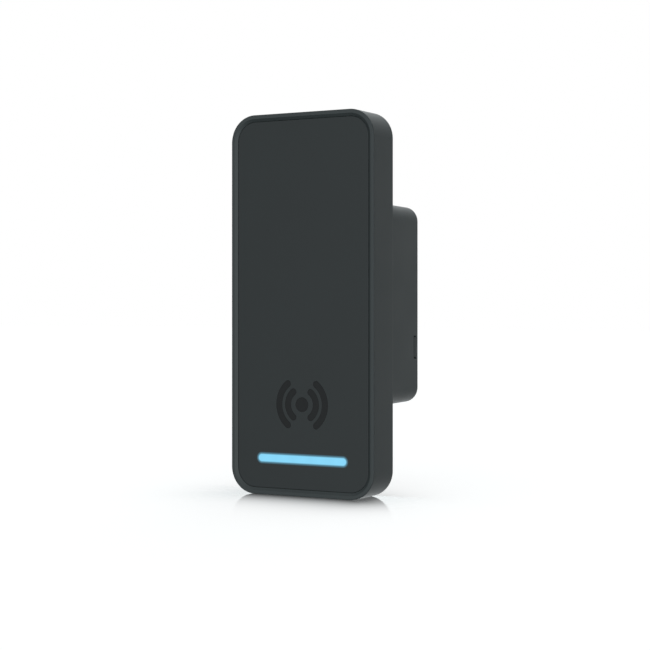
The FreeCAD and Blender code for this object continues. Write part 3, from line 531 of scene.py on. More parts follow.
def circuit_board(name, mask):
    """Solder mask over tracks, with plated holes showing through."""
    material, shader, place = new_material(name)
    tree = material.node_tree
    flat = put(tree, "ShaderNodeMapping", {"Vector": place, "Rotation": (math.pi / 2, 0.0, 0.0)})
    gap = {"Mortar Size": 0.07, "Mortar Smooth": 0.1}
    layout = {"Vector": flat, "Scale": 210.0, "Brick Width": 1.9, "Row Height": 0.42, **gap}
    tracks = put(tree, "ShaderNodeTexBrick", layout, offset=0.37).outputs["Fac"]
    from_hole = put(tree, "ShaderNodeTexVoronoi", {"Vector": flat, "Scale": 420.0, "Randomness": 0.85})
    hole = spread(from_hole, 0.13, 0.09)
    ring = minus(spread(from_hole, 0.22, 0.19), hole, clamp=True)
    gold = scaled(bpy.context.scene.reader_colours.gold, 0.55)
    plated = mixed(ring, mixed(tracks, mask, scaled(mask, 1.7)), gold)
    fill(
        shader,
        Base_Color=mixed(hole, plated, (0.01, 0.01, 0.01)),
        Roughness=spread(noise(place, 900.0), 0.3, 0.7, 0.26, 0.38),
        Coat_Weight=0.3,
        Coat_Roughness=0.2,
    )
    bumps(shader, minus(tracks, hole), 0.5, 0.03 * MM)
    return material


def ceramic_block(name, colour, roughness):
    """Sintered ceramic or ferrite with a granular face."""
    material, shader, place = new_material(name)
    grains = put(material.node_tree, "ShaderNodeTexVoronoi", {"Vector": place, "Scale": 5200.0})
    tone = spread(grains, 0.1, 0.7)
    fill(
        shader,
        Base_Color=mixed(tone, scaled(colour, 0.85), scaled(colour, 1.12)),
        Roughness=spread(tone, 0.0, 1.0, roughness - 0.06, roughness + 0.06),
    )
    bumps(shader, grains, 0.3, 0.01 * MM)
    return material


def printed_label(name):
    """Blank matt label: a printed frame and empty fields, with no lettering."""
    tone = bpy.context.scene.reader_colours.label
    material, shader, place = new_material(name)
    middle, half = centre("rating_label"), size("rating_label") / 2
    x, _, z = split(place)
    x, z = minus(x, middle.x), minus(z, middle.z)

    def band(value, low, high):
        return times(maths("GREATER_THAN", value, low), maths("LESS_THAN", value, high))

    def field(x0, x1, z0, z1):
        return times(band(x, x0, x1), band(z, z0, z1))

    def outline(x0, x1, z0, z1, line=0.2 * MM):
        return minus(field(x0, x1, z0, z1), field(x0 + line, x1 - line, z0 + line, z1 - line), clamp=True)

    margin, indent, row_height, row_line = 1.2 * MM, 3 * MM, 2.6 * MM, 0.18 * MM
    ink = outline(margin - half.x, half.x - margin, margin - half.z, half.z - margin)
    for row in range(4):
        z0 = half.z - 4.2 * MM - row * row_height
        ink = maths("MAXIMUM", ink, field(indent - half.x, 2 * MM, z0, z0 + row_line))
    ink = maths("MAXIMUM", ink, outline(half.x - 12 * MM, half.x - indent, -4.6 * MM, 4.6 * MM))
    fibres = noise(place, 3000.0, 4.0, 0.7)
    paper = mixed(fibres, scaled(tone, 0.93), scaled(tone, 1.05))
    fill(
        shader,
        Base_Color=mixed(times(ink, 0.85), paper, (0.02, 0.02, 0.022)),
        Roughness=spread(fibres, 0.3, 0.7, 0.42, 0.55),
    )
    bumps(shader, fibres, 0.2, 0.01 * MM)
    return material


def woven_membrane(name):
    """White breathable membrane with a fine weave."""
    material, shader, place = new_material(name)
    threads = FULL_TURN / (0.3 * MM)
    x, _, z = split(place)
    weave = times(maths("SINE", times(x, threads)), maths("SINE", times(z, threads)))
    fill(
        shader,
        Base_Color=mixed(spread(weave, -1.0, 1.0), (0.42, 0.42, 0.41), (0.62, 0.62, 0.60)),
        Roughness=spread(weave, -1.0, 1.0, 0.75, 0.9),
    )
    bumps(shader, weave, 0.6, 0.03 * MM)
    return material


def threaded_brass():
    """Machined brass: knurled outside, with the turns of a thread inside."""
    colours, sizes = choices()
    material = plain_metal("insert_brass", colours.brass, 0.24, patina=0.3)
    x, y, z = split(object_place(material.node_tree))
    bracket_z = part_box("bracket_inserts")[1].z - size("bracket_inserts").x / 2
    angle = maths("ARCTAN2", minus(maths("ABSOLUTE", z), bracket_z), x)
    turns = over(y, sizes.machine_pitch)
    thread = maths("PINGPONG", plus(turns, over(angle, FULL_TURN)), 0.5)
    knurl = maths("SINE", maths("MULTIPLY_ADD", angle, 24.0, times(turns, 2.0)))
    relief = maths("MULTIPLY_ADD", knurl, 0.3, thread)
    bumps(material.node_tree.nodes["Principled BSDF"], relief, 0.8, 0.15 * MM)
    return material


def banded(name, node, bands, roughness, metallic=None):
    """Small part coloured in bands along its height above the board: (share of the depth, colour)."""
    material, shader, place = new_material(name)
    low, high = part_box(node)
    depth = split(place)[1]
    share = spread(depth, low.y, high.y)
    grime = spread(noise(place, 700.0, 4.0, 0.6), 0.35, 0.7)
    colour = mixed(grime, bands[0][1], scaled(bands[0][1], 1.3))
    for start, tone in bands[1:]:
        colour = mixed(maths("GREATER_THAN", share, start), colour, mixed(grime, tone, scaled(tone, 0.8)))
    fill(shader, Base_Color=colour, Roughness=spread(grime, 0.0, 1.0, roughness - 0.05, roughness + 0.08))
    if metallic is not None:
        wire(shader, "Metallic", maths("GREATER_THAN", share, metallic))
    winding_pitch = 0.35 * MM
    bumps(shader, maths("SINE", times(depth, FULL_TURN / winding_pitch)), 0.2, 0.03 * MM)
    return material


def led_package():
    """White LED bodies, each with a yellow phosphor window that glows."""
    colours, sizes = choices()
    material, shader, place = new_material("led_package")
    boxes = solids("status_leds")
    pitch = (boxes[-1][0].x - boxes[0][0].x) / (len(boxes) - 1)
    middle, body = centre("status_leds"), boxes[0][1] - boxes[0][0]
    x, _, z = split(place)
    along = maths("PINGPONG", minus(x, middle.x), pitch / 2)
    across = maths("ABSOLUTE", minus(z, middle.z))
    window = times(maths("LESS_THAN", along, 0.36 * body.x), maths("LESS_THAN", across, 0.32 * body.z))
    grains = noise(place, 6000.0)
    body_tone = mixed(grains, (0.70, 0.70, 0.66), (0.78, 0.78, 0.74))
    fill(
        shader,
        Base_Color=mixed(window, body_tone, (0.75, 0.62, 0.18)),
        Roughness=spread(grains, 0.3, 0.7, 0.25, 0.4),
        Emission_Color=mixed(window, BLACK, colours.light),
        Emission_Strength=sizes.light_power,
    )
    return material


def tipped_capacitors():
    """Ceramic chip capacitors with tinned ends."""
    material, shader, place = new_material("capacitor_ceramic")
    boxes = solids("chip_capacitors")
    columns = sorted({round(low.x, 5) for low, _ in boxes})
    pitch = columns[1] - columns[0]
    half = (boxes[0][1].x - boxes[0][0].x) / 2
    along = maths("PINGPONG", minus(split(place)[0], columns[0] + half), pitch / 2)
    ends = maths("GREATER_THAN", along, 0.58 * half)
    grains = noise(place, 5000.0, 3.0)
    body = mixed(grains, (0.30, 0.20, 0.11), (0.38, 0.26, 0.15))
    fill(
        shader,
        Base_Color=mixed(ends, body, (0.55, 0.55, 0.54)),
        Metallic=ends,
        Roughness=spread(grains, 0.3, 0.7, 0.3, 0.45),
    )
    return material


def finish(material, *names):
    """Gives frame nodes their material."""
    for name in names:
        slots = nodes[name].data.materials
        slots.clear()
        slots.append(material)


# ---------------- geometry node tools


def new_tree(name, **labels):
    """Empty geometry tree with inputs of the kinds named; returns what group_ends does."""
    tree = bpy.data.node_groups.new(name, "GeometryNodeTree")
    for kind, names in {**labels, "Material": ("Material",)}.items():
        for label in names:
            tree.interface.new_socket(label, in_out="INPUT", socket_type="NodeSocket" + kind)
    tree.interface.new_socket("Geometry", in_out="OUTPUT", socket_type="NodeSocketGeometry")
    return group_ends(tree)


def close_tree(tree, result, geometry, material):
    """Ends a tree with real geometry in one material."""
    real = put(tree, "GeometryNodeRealizeInstances", {"Geometry": geometry})
    wire(result, "Geometry", put(tree, "GeometryNodeSetMaterial", {"Geometry": real, "Material": material}))


def add_object(name, data):
    """New object in the scene."""
    thing = bpy.data.objects.new(name, data)
    bpy.context.scene.collection.objects.link(thing)
    return thing


def grown(name, tree, values, route=None):
    """Runs a geometry tree once and returns its result as a plain mesh object.

    The route, if any, is a list of points joined by edges, which the tree takes as its geometry.
    """
    seed_mesh = bpy.data.meshes.new(name + "_seed")
    if route:
        seed_mesh.from_pydata(route, [(i, i + 1) for i in range(len(route) - 1)], [])
    seed = add_object(name + "_seed", seed_mesh)
    modifier = seed.modifiers.new("tree", "NODES")
    modifier.node_group = tree
    for item in tree.interface.items_tree:
        if item.item_type == "SOCKET" and item.in_out == "INPUT" and item.name in values:
            modifier[item.identifier] = values[item.name]
    bpy.context.view_layer.update()
    mesh = bpy.data.meshes.new_from_object(seed.evaluated_get(bpy.context.evaluated_depsgraph_get()))
    mesh.name = name
    bpy.data.objects.remove(seed)
    outward(mesh)
    return add_object(name, mesh)


def outward(mesh):
    """Merges doubles and turns all faces outwards."""
    work = bmesh.new()
    work.from_mesh(mesh)
    bmesh.ops.remove_doubles(work, verts=work.verts, dist=MERGE)
    bmesh.ops.dissolve_degenerate(work, edges=work.edges, dist=MERGE)
    bmesh.ops.recalc_face_normals(work, faces=work.faces)
    work.to_mesh(mesh)
    work.free()


def seat(piece, node, body, crease):
    """Shades a finished piece, rides it on its body and puts it in the place of a frame node."""
    piece.data.shade_smooth()
    piece.data.set_sharp_from_angle(angle=math.radians(crease))
    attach(piece, body)
    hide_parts(node)
    return piece


def sheet_coordinates(tree, rows, columns):
    """Unit grid for a swept surface; returns its geometry, and the fields along and around it."""
    inputs = {"Size X": 1.0, "Size Y": 1.0, "Vertices X": rows, "Vertices Y": columns}
    x, y, _ = split(put(tree, "GeometryNodeInputPosition"))
    return put(tree, "GeometryNodeMeshGrid", inputs), plus(x, 0.5), times(plus(y, 0.5), FULL_TURN)


def round_y(tree, radius, angle, height):
    """Point at a radius, an angle and a height round the Y axis."""
    x, z = times(radius, maths("COSINE", angle)), times(radius, maths("SINE", angle))
    return put(tree, "ShaderNodeCombineXYZ", {"X": x, "Y": height, "Z": z})


def turned(tree, sheet, around, radius, height):
    """Wraps a sheet round the Y axis by radius and height, and closes it."""
    position = round_y(tree, radius, around, height)
    moved = put(tree, "GeometryNodeSetPosition", {"Geometry": sheet, "Position": position})
    return put(tree, "GeometryNodeMergeByDistance", {"Geometry": moved, "Distance": MERGE})


@once("Machine Screws")
def screw_tree(name):
    """Pan-head machine screws along Y with a hexagon socket, at the corners of a rectangle."""
    sizes = ("Shank Radius", "Length", "Pitch", "Head Radius", "Head Height", "Socket Radius")
    spacings, counts = ("Spacing X", "Spacing Z"), ("Count X", "Count Z")
    tree, given, result = new_tree(name, Float=sizes + spacings, Int=counts, Vector=("Centre",))
    shank_radius, length, pitch, head_radius, head_height, socket_radius = (given[label] for label in sizes)
    rows_per_turn, thread_depth = 8.0, 1.1
    sheet, along, around = sheet_coordinates(tree, times(over(length, pitch), rows_per_turn), 33)
    turns = over(times(along, length), pitch)
    phase = plus(turns, over(around, FULL_TURN))
    groove = times(maths("PINGPONG", phase, 0.5), maths("MINIMUM", turns, 1.0))
    cut_radius = minus(shank_radius, times(groove, times(pitch, thread_depth)))
    to_tip = over(times(minus(1.0, along), length), shank_radius)
    taper = spread(to_tip, 0.0, 0.8, 0.65, 1.0)
    inner = maths("GREATER_THAN", times(along, minus(1.0, along)), 1e-6)
    sunk = times(head_height, 0.3)
    height = minus(sunk, times(along, plus(length, sunk)))
    shank = turned(tree, sheet, around, times(times(cut_radius, taper), inner), height)

    head_rows, squareness = 26, 0.45
    sheet, along, around = sheet_coordinates(tree, head_rows, 49)
    row = 1.0 / (head_rows - 1)
    swing = spread(along, row, 1.0, 0.0, math.pi / 2)
    crown, waist = (
        maths("POWER", maths("MAXIMUM", maths(wave, swing), 0.0), squareness) for wave in ("SINE", "COSINE")
    )
    covered = maths("GREATER_THAN", along, 0.5 * row)
    head = turned(tree, sheet, around, times(times(waist, head_radius), covered), times(crown, head_height))
    upright = (math.pi / 2, 0.0, 0.0)
    prism = {"Vertices": 6, "Radius": socket_radius, "Depth": head_height}
    socket = {
        "Geometry": put(tree, "GeometryNodeMeshCylinder", prism),
        "Translation": put(tree, "ShaderNodeCombineXYZ", {"Y": head_height}),
        "Rotation": upright,
    }
    joined = put(tree, "GeometryNodeMeshBoolean", operation="UNION", solver="EXACT")
    wire(joined, "Mesh 2", head)
    wire(joined, "Mesh 2", shank)
    cut = put(tree, "GeometryNodeMeshBoolean", {"Mesh 1": joined}, operation="DIFFERENCE", solver="EXACT")
    wire(cut, "Mesh 2", put(tree, "GeometryNodeTransform", socket))

    keys = ("Size X", "Size Y", "Vertices X", "Vertices Y")
    grid = {key: given[label] for key, label in zip(keys, spacings + counts)}
    places = {
        "Geometry": put(tree, "GeometryNodeMeshGrid", grid),
        "Translation": given["Centre"],
        "Rotation": upright,
    }
    spots = put(tree, "GeometryNodeTransform", places)
    set_out = put(tree, "GeometryNodeInstanceOnPoints", {"Points": spots, "Instance": cut})
    close_tree(tree, result, set_out, given["Material"])
    return tree


def swept(tree, route, section):
    """Solid with one section along a route."""
    inputs = {"Curve": route, "Profile Curve": section, "Fill Caps": True}
    return put(tree, "GeometryNodeCurveToMesh", inputs)


@once("Coil Spring")
def coil_tree(name):
    """Compression spring along Y with closed ends."""
    labels = ("Radius", "Wire Radius", "Length", "Turns")
    tree, given, result = new_tree(name, Float=labels, Vector=("Start",))
    radius, wire_radius, length, turns = (given[label] for label in labels)
    points_per_turn = 28.0
    steps = times(turns, points_per_turn)
    line = put(tree, "GeometryNodeMeshLine", {"Count": steps})
    index = put(tree, "GeometryNodeInputIndex")
    turn = times(over(index, minus(steps, 1.0)), turns)
    thickness = times(wire_radius, 2.0)
    last = minus(turns, 1.0)
    free_rise = minus(length, times(thickness, 3.0))
    closed = plus(maths("MINIMUM", turn, 1.0), maths("MAXIMUM", minus(turn, last), 0.0))
    opened = minus(maths("MINIMUM", maths("MAXIMUM", turn, 1.0), last), 1.0)
    pitch = over(free_rise, minus(last, 1.0))
    height = plus(maths("MULTIPLY_ADD", opened, pitch, times(closed, thickness)), wire_radius)
    position = round_y(tree, radius, times(turn, FULL_TURN), height)
    wound = put(tree, "GeometryNodeSetPosition", {"Geometry": line, "Position": position})
    route = put(tree, "GeometryNodeMeshToCurve", {"Mesh": wound})
    section = put(tree, "GeometryNodeCurvePrimitiveCircle", {"Resolution": 12, "Radius": wire_radius})
    coil = swept(tree, route, section)
    moved = put(tree, "GeometryNodeTransform", {"Geometry": coil, "Translation": given["Start"]})
    close_tree(tree, result, moved, given["Material"])
    return tree


@once("Bent Strips")
def strip_tree(name):
    """Flat strips that follow a drawn route, with rounded bends, repeated along X."""
    sizes, vectors = ("Width", "Thickness", "Bend", "Pitch"), ("Turn", "Start")
    labels = {"Geometry": ("Geometry",), "Float": sizes, "Int": ("Count",), "Vector": vectors}
    tree, given, result = new_tree(name, **labels)
    route = put(tree, "GeometryNodeMeshToCurve", {"Mesh": given["Geometry"]})
    bend = {"Curve": route, "Radius": given["Bend"], "Limit Radius": True, "Count": 6}
    eased = put(tree, "GeometryNodeFilletCurve", bend, mode="POLY")
    level = put(tree, "GeometryNodeSetCurveNormal", {"Curve": eased}, mode="Z_UP")
    sides = {"Width": given["Width"], "Height": given["Thickness"]}
    section = put(tree, "GeometryNodeCurvePrimitiveQuadrilateral", sides, mode="RECTANGLE")
    strip = swept(tree, level, section)
    faced = put(tree, "GeometryNodeTransform", {"Geometry": strip, "Rotation": given["Turn"]})
    step = put(tree, "ShaderNodeCombineXYZ", {"X": given["Pitch"]})
    row = {"Count": given["Count"], "Start Location": given["Start"], "Offset": step}
    places = put(tree, "GeometryNodeMeshLine", row)
    set_out = put(tree, "GeometryNodeInstanceOnPoints", {"Points": places, "Instance": faced})
    close_tree(tree, result, set_out, given["Material"])
    return tree


# ---------------- stage


def light_lobe(direction, aim, sharpness, strength):
    """Soft patch of light round one direction of the sky; returns its brightness."""
    inputs = {0: direction, 1: aim}
    facing = put(home(direction), "ShaderNodeVectorMath", inputs, operation="DOT_PRODUCT").outputs["Value"]
    return times(maths("POWER", maths("MAXIMUM", facing, 0.0), sharpness), strength)


def blend(tree, kind, first, second, **inputs):
    """Shader node that mixes or adds two shaders."""
    node = put(tree, kind, inputs)
    slots = [socket for socket in node.inputs if socket.type == "SHADER"]
    for slot, shader in zip(slots, (first, second)):
        tree.links.new(shader.outputs[0], slot)
    return node


def studio_world(studio):
    """White surroundings for the camera, and a soft studio for everything else."""
    world = bpy.data.worlds.new("studio")
    bpy.context.scene.world = world
    world.use_nodes = True
    tree = world.node_tree
    tree.nodes.clear()
    direction = put(tree, "ShaderNodeTexCoord").outputs["Generated"]
    level = studio.room_light
    for aim, sharpness, strength in (
        ((0.0, -1.0, 0.0), 4.0, studio.front_light),
        ((0.75, -0.66, 0.0), 4.0, studio.right_light),
        ((-1.0, 0.0, 0.0), 2.0, studio.left_light),
        ((-0.3, 0.954, 0.0), 7.0, studio.back_light),
        ((0.0, 0.0, 1.0), 2.0, studio.top_light),
    ):
        level = plus(light_lobe(direction, aim, sharpness, strength), level)
    room = put(tree, "ShaderNodeBackground", {"Color": (0.94, 0.99, 1.0, 1.0), "Strength": level})
    white = put(tree, "ShaderNodeBackground", {"Color": WHITE, "Strength": 1.0})
    camera_ray = put(tree, "ShaderNodeLightPath").outputs["Is Camera Ray"]
    choice = blend(tree, "ShaderNodeMixShader", room, white, Fac=camera_ray)
    put(tree, "ShaderNodeOutputWorld", {"Surface": choice})


def floor_material():
    """White floor, polished in front of the reader's foot, and clear from below."""
    material = bpy.data.materials.new("studio_floor")
    material.use_nodes = True
    tree = material.node_tree
    tree.nodes.clear()
    x, y, _ = split(object_place(tree))
    low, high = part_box("front_housing")
    foot_x, foot_y = 0.78 * high.x, (high.y - low.y) / 2
    distance = hypotenuse(past(x, foot_x), past(minus(y, (low.y + high.y) / 2), foot_y))
    polish_reach, polish, shadow_reach, shadow, brightness = 13.5 * MM, 0.92, 8 * MM, 0.2, 0.695
    fade = maths("POWER", over(distance, polish_reach), 1.25)
    in_front = spread(y, high.y + 4 * MM, high.y, 0.0, polish)
    polished = times(maths("EXPONENT", times(fade, -1.0)), in_front)
    shade = maths("EXPONENT", over(distance, -shadow_reach))
    glow = maths("MULTIPLY_ADD", shade, -shadow, brightness)
    white = put(tree, "ShaderNodeEmission", {"Color": WHITE, "Strength": glow})
    matt = put(tree, "ShaderNodeBsdfDiffuse", {"Color": (0.58, 0.58, 0.58, 1.0)})
    mirror = put(tree, "ShaderNodeBsdfGlossy", {"Color": (0.42, 0.42, 0.42, 1.0), "Roughness": 0.04})
    lit = blend(tree, "ShaderNodeAddShader", white, matt)
    top = blend(tree, "ShaderNodeMixShader", lit, mirror, Fac=polished)
    clear = put(tree, "ShaderNodeBsdfTransparent")
    from_below = put(tree, "ShaderNodeNewGeometry").outputs["Backfacing"]
    either = blend(tree, "ShaderNodeMixShader", top, clear, Fac=from_below)
    put(tree, "ShaderNodeOutputMaterial", {"Surface": either})
    return material


# ---------------- operators


class READER_OT_finish_shell(bpy.types.Operator):
    """Finishes the moulded shell, the rear box and the wiring cover"""

    bl_idname = "reader.finish_shell"
    bl_label = "Finish Shell"

    def execute(self, context):
        colours = context.scene.reader_colours
        finish(moulded_plastic("shell_plastic", colours.shell, 0.42), "front_housing")
        finish(moulded_plastic("module_plastic", colours.module, 0.46), "back_housing", "wiring_cover")
        return {"FINISHED"}


class READER_OT_finish_panel(bpy.types.Operator):
    """Finishes the front panel and its symbol"""

    bl_idname = "reader.finish_panel"
    bl_label = "Finish Panel"

    def execute(self, context):
        finish(panel_plastic(), "front_panel")
        finish(symbol_gloss(), "reader_symbol")
        return {"FINISHED"}


class READER_OT_finish_light_bar(bpy.types.Operator):
    """Finishes the light bar's lens and guide"""

    bl_idname = "reader.finish_light_bar"
    bl_label = "Finish Light Bar"

    def execute(self, context):
        finish(light_diffuser(), "light_bar_lens")
        finish(clear_acrylic(), "light_guide")
        return {"FINISHED"}


class READER_OT_finish_electronics(bpy.types.Operator):
    """Finishes the boards, the parts on them and the parts that press on their switches"""

    bl_idname = "reader.finish_electronics"
    bl_label = "Finish Electronics"

    def execute(self, context):
        colours = context.scene.reader_colours
        for name, colour, roughness, *parts in (
            ("black_plastic", (0.012, 0.012, 0.013), 0.5, "led_shroud", "buzzer"),
            ("switch_plastic", (0.018, 0.018, 0.019), 0.4, "reset_switch", "tamper_switch"),
            ("adhesive_film", (0.03, 0.03, 0.032), 0.55, "panel_adhesive"),
            ("jack_black", (0.013, 0.013, 0.014), 0.38, "rj45_insert"),
            ("chip_black", (0.014, 0.014, 0.015), 0.48, "processor_chips"),
            ("button_plastic", (0.34, 0.34, 0.33), 0.4, "reset_button"),
            ("plunger_plastic", (0.30, 0.31, 0.31), 0.42, "tamper_plunger"),
        ):
            finish(moulded_plastic(name, colour, roughness), *parts)
        for name, colour, roughness, part in (
            ("ferrite", (0.035, 0.035, 0.038), 0.5, "ferrite_sheet"),
            ("antenna_ceramic", (0.42, 0.43, 0.46), 0.35, "bluetooth_antenna"),
            ("core_ferrite", (0.05, 0.048, 0.045), 0.42, "power_inductor"),
        ):
            finish(ceramic_block(name, colour, roughness), part)
        finish(circuit_board("circuit_board", colours.solder_mask), "main_board")
        finish(circuit_board("antenna_laminate", scaled(colours.solder_mask, 0.8)), "antenna_board")
        finish(plain_metal("tinned_steel", colours.steel, 0.30, brushed_along=2), "shield_can", "rj45_shell")
        finish(plain_metal("gold_spring", colours.gold, 0.22), "antenna_contacts")
        finish(led_package(), "status_leds")
        finish(tipped_capacitors(), "chip_capacitors")
        bobbin, tape = (0.014, 0.014, 0.015), (0.42, 0.27, 0.06)
        winding = [(0.0, bobbin), (0.18, tape), (0.84, bobbin)]
        finish(banded("transformer_black", "poe_transformer", winding, 0.42), "poe_transformer")
        rubber, aluminium, base = (0.013, 0.013, 0.014), (0.58, 0.58, 0.59), 0.14
        can = [(0.0, rubber), (base, aluminium)]
        cans = banded("can_aluminium", "electrolytic_capacitors", can, 0.28, metallic=base)
        finish(cans, "electrolytic_capacitors")
        return {"FINISHED"}


class READER_OT_finish_seals(bpy.types.Operator):
    """Finishes the seals, the vent, the label and the threaded inserts"""

    bl_idname = "reader.finish_seals"
    bl_label = "Finish Seals and Inserts"

    def execute(self, context):
        finish(soft_rubber("black_rubber"), "housing_gasket", "cover_gasket")
        finish(woven_membrane("membrane"), "vent_membrane")
        finish(printed_label("label_paper"), "rating_label")
        finish(threaded_brass(), "bracket_inserts", "security_insert")
        return {"FINISHED"}


class READER_OT_fit_screws(bpy.types.Operator):
    """Fits the threaded screws of the housing, the board and the cover"""

    bl_idname = "reader.fit_screws"
    bl_label = "Fit Screws"

    def execute(self, context):
        colours = context.scene.reader_colours
        black = plain_metal("screw_black", scaled(colours.steel, 0.12), 0.30)
        bright = plain_metal("screw_steel", colours.steel, 0.22)
        fitted = [
            ("housing_screws", (2.0, 1.2, 1.0), 2, black, HOUSING, "screw_black"),
            ("board_screws", (1.5, 0.9, 0.8), 2, bright, HOUSING, "screw_steel"),
            ("cover_screw", (2.1, 1.1, 1.1), 1, black, COVER, "screw_black"),
        ]
        for node, sizes_mm, rows, material, body, slot in fitted:
            head_radius, head_height, shank_radius = (value * MM for value in sizes_mm)
            box_size = size(node)
            values = {
                "Shank Radius": shank_radius,
                "Length": box_size.y - head_height,
                "Pitch": context.scene.reader_sizes.machine_pitch,
                "Head Radius": head_radius,
                "Head Height": head_height,
                "Socket Radius": 0.5 * head_radius,
                "Spacing X": box_size.x - 2 * head_radius,
                "Spacing Z": box_size.z - 2 * head_radius,
                "Count X": rows,
                "Count Z": rows,
                "Centre": Vector((centre(node).x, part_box(node)[1].y - head_height, centre(node).z)),
                "Material": material,
            }
            seat(grown(node + "_threaded", screw_tree(), values), node, body, 35)
        return {"FINISHED"}


class READER_OT_fit_spring(bpy.types.Operator):
    """Winds the spring under the tamper plunger"""

    bl_idname = "reader.fit_spring"
    bl_label = "Fit Spring"

    def execute(self, context):
        sizes = context.scene.reader_sizes
        low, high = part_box("tamper_spring")
        middle = centre("tamper_spring")
        values = {
            "Radius": (high.x - low.x - sizes.spring_wire) / 2,
            "Wire Radius": sizes.spring_wire / 2,
            "Length": high.y - low.y,
            "Turns": sizes.spring_turns,
            "Start": Vector((middle.x, low.y, middle.z)),
            "Material": plain_metal("spring_steel", context.scene.reader_colours.steel, 0.2),
        }
        wound = grown("tamper_spring_wound", coil_tree(), values)
        spring = seat(wound, "tamper_spring", HOUSING, 60)
        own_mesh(spring)
        return {"FINISHED"}


class READER_OT_fit_contacts(bpy.types.Operator):
    """Bends the eight contacts of the network jack"""

    bl_idname = "reader.fit_contacts"
    bl_label = "Fit Jack Contacts"

    def execute(self, context):
        low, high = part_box("rj45_contacts")
        gauge, count = 0.3 * MM, 8
        half = gauge / 2
        floor, crest = low.y + half, high.y - half
        mouth, rear = low.z + half, high.z - half
        route = [
            (rear, floor, 0.0),
            (mouth, floor, 0.0),
            (mouth, floor + 2 * gauge, 0.0),
            (rear - 1.2 * MM, crest, 0.0),
            (rear, crest - 1.2 * gauge, 0.0),
        ]
        values = {
            "Width": gauge,
            "Thickness": gauge,
            "Bend": 0.28 * MM,
            "Count": count,
            "Pitch": (high.x - low.x - gauge) / (count - 1),
            "Turn": Vector((0.0, -math.pi / 2, 0.0)),
            "Start": Vector((low.x + half, 0.0, 0.0)),
            "Material": nodes["antenna_contacts"].data.materials[0],
        }
        contacts = grown("jack_contacts", strip_tree(), values, route)
        seat(contacts, "rj45_contacts", HOUSING, 40)
        return {"FINISHED"}


class READER_OT_fit_antenna(bpy.types.Operator):
    """Lays the reading coil's copper track"""

    bl_idname = "reader.fit_antenna"
    bl_label = "Fit Antenna Track"

    def execute(self, context):
        low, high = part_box("antenna_coil")
        track, pitch, turns = 0.8 * MM, 1.6 * MM, 4
        left, right = low.x + track / 2, high.x - track / 2
        bottom, top = low.z + track / 2, high.z - track / 2
        route = [(left, bottom, 0.0)]
        for turn in range(turns):
            inset = turn * pitch
            route.append((left + inset, top - inset, 0.0))
            route.append((right - inset, top - inset, 0.0))
            route.append((right - inset, bottom + inset, 0.0))
            route.append((left + inset + pitch, bottom + inset, 0.0))
        values = {
            "Width": track,
            "Thickness": high.y - low.y,
            "Bend": 1.5 * MM,
            "Count": 1,
            "Pitch": 0.0,
            "Turn": Vector((math.pi / 2, 0.0, 0.0)),
            "Start": Vector((0.0, (low.y + high.y) / 2, 0.0)),
            "Material": plain_metal("copper_track", context.scene.reader_colours.copper, 0.3),
        }
        coil = grown("antenna_track", strip_tree(), values, route)
        seat(coil, "antenna_coil", HOUSING, 40)
        return {"FINISHED"}


class READER_OT_fit_grommet(bpy.types.Operator):
    """Turns the rubber cable grommet with its ribbed sleeve"""

    bl_idname = "reader.fit_grommet"
    bl_label = "Fit Grommet"

    def execute(self, context):
        low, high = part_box("cable_grommet")
        middle = centre("cable_grommet")
        flange, web, bore = (high.x - low.x) / 2, 5.5 * MM, 2.75 * MM
        face, web_back, web_front, inner = high.y, high.y - 0.8 * MM, high.y - 1.6 * MM, high.y - 2.8 * MM
        tip_radius, root_radius = 3.65 * MM, 4.45 * MM
        soft, dish, ribs, groove = 0.25 * MM, 0.3 * MM, 4, 0.32 * MM
        dish_inner, dish_outer = bore + 1.2 * MM, flange - 0.8 * MM
        outline = [(bore, low.y + soft), (bore, face - soft), (bore + soft, face)]
        outline += [(dish_inner, face), (dish_inner + dish, face - dish)]
        outline += [(dish_outer - dish, face - dish), (dish_outer, face)]
        outline += [(flange - soft, face), (flange, face - soft), (flange, web_back)]
        outline += [(web, web_back), (web, web_front), (flange, web_front)]
        outline += [(flange, inner + soft), (flange - soft, inner), (root_radius, inner)]
        for rib in range(ribs):
            for share, depth in ((0.15, 0.0), (0.30, groove), (0.62, groove), (0.78, 0.0)):
                down = (rib + share) / ribs
                taper = root_radius + (tip_radius - root_radius) * down
                outline.append((taper - depth, inner + (low.y - inner) * down))
        outline += [(tip_radius, low.y + soft / 2), (tip_radius - soft / 2, low.y), (bore + soft, low.y)]
        mesh = bpy.data.meshes.new("grommet_ribbed")
        work = bmesh.new()
        ring = [work.verts.new((middle.x + radius, y, middle.z)) for radius, y in outline]
        loop = [work.edges.new((ring[i - 1], ring[i])) for i in range(len(ring))]
        pivot, axis = Vector((middle.x, 0.0, middle.z)), Vector((0.0, 1.0, 0.0))
        bmesh.ops.spin(work, geom=ring + loop, cent=pivot, axis=axis, angle=FULL_TURN, steps=64)
        work.to_mesh(mesh)
        work.free()
        outward(mesh)
        mesh.materials.append(nodes["cover_gasket"].data.materials[0])
        seat(add_object("grommet_ribbed", mesh), "cable_grommet", COVER, 30)
        return {"FINISHED"}


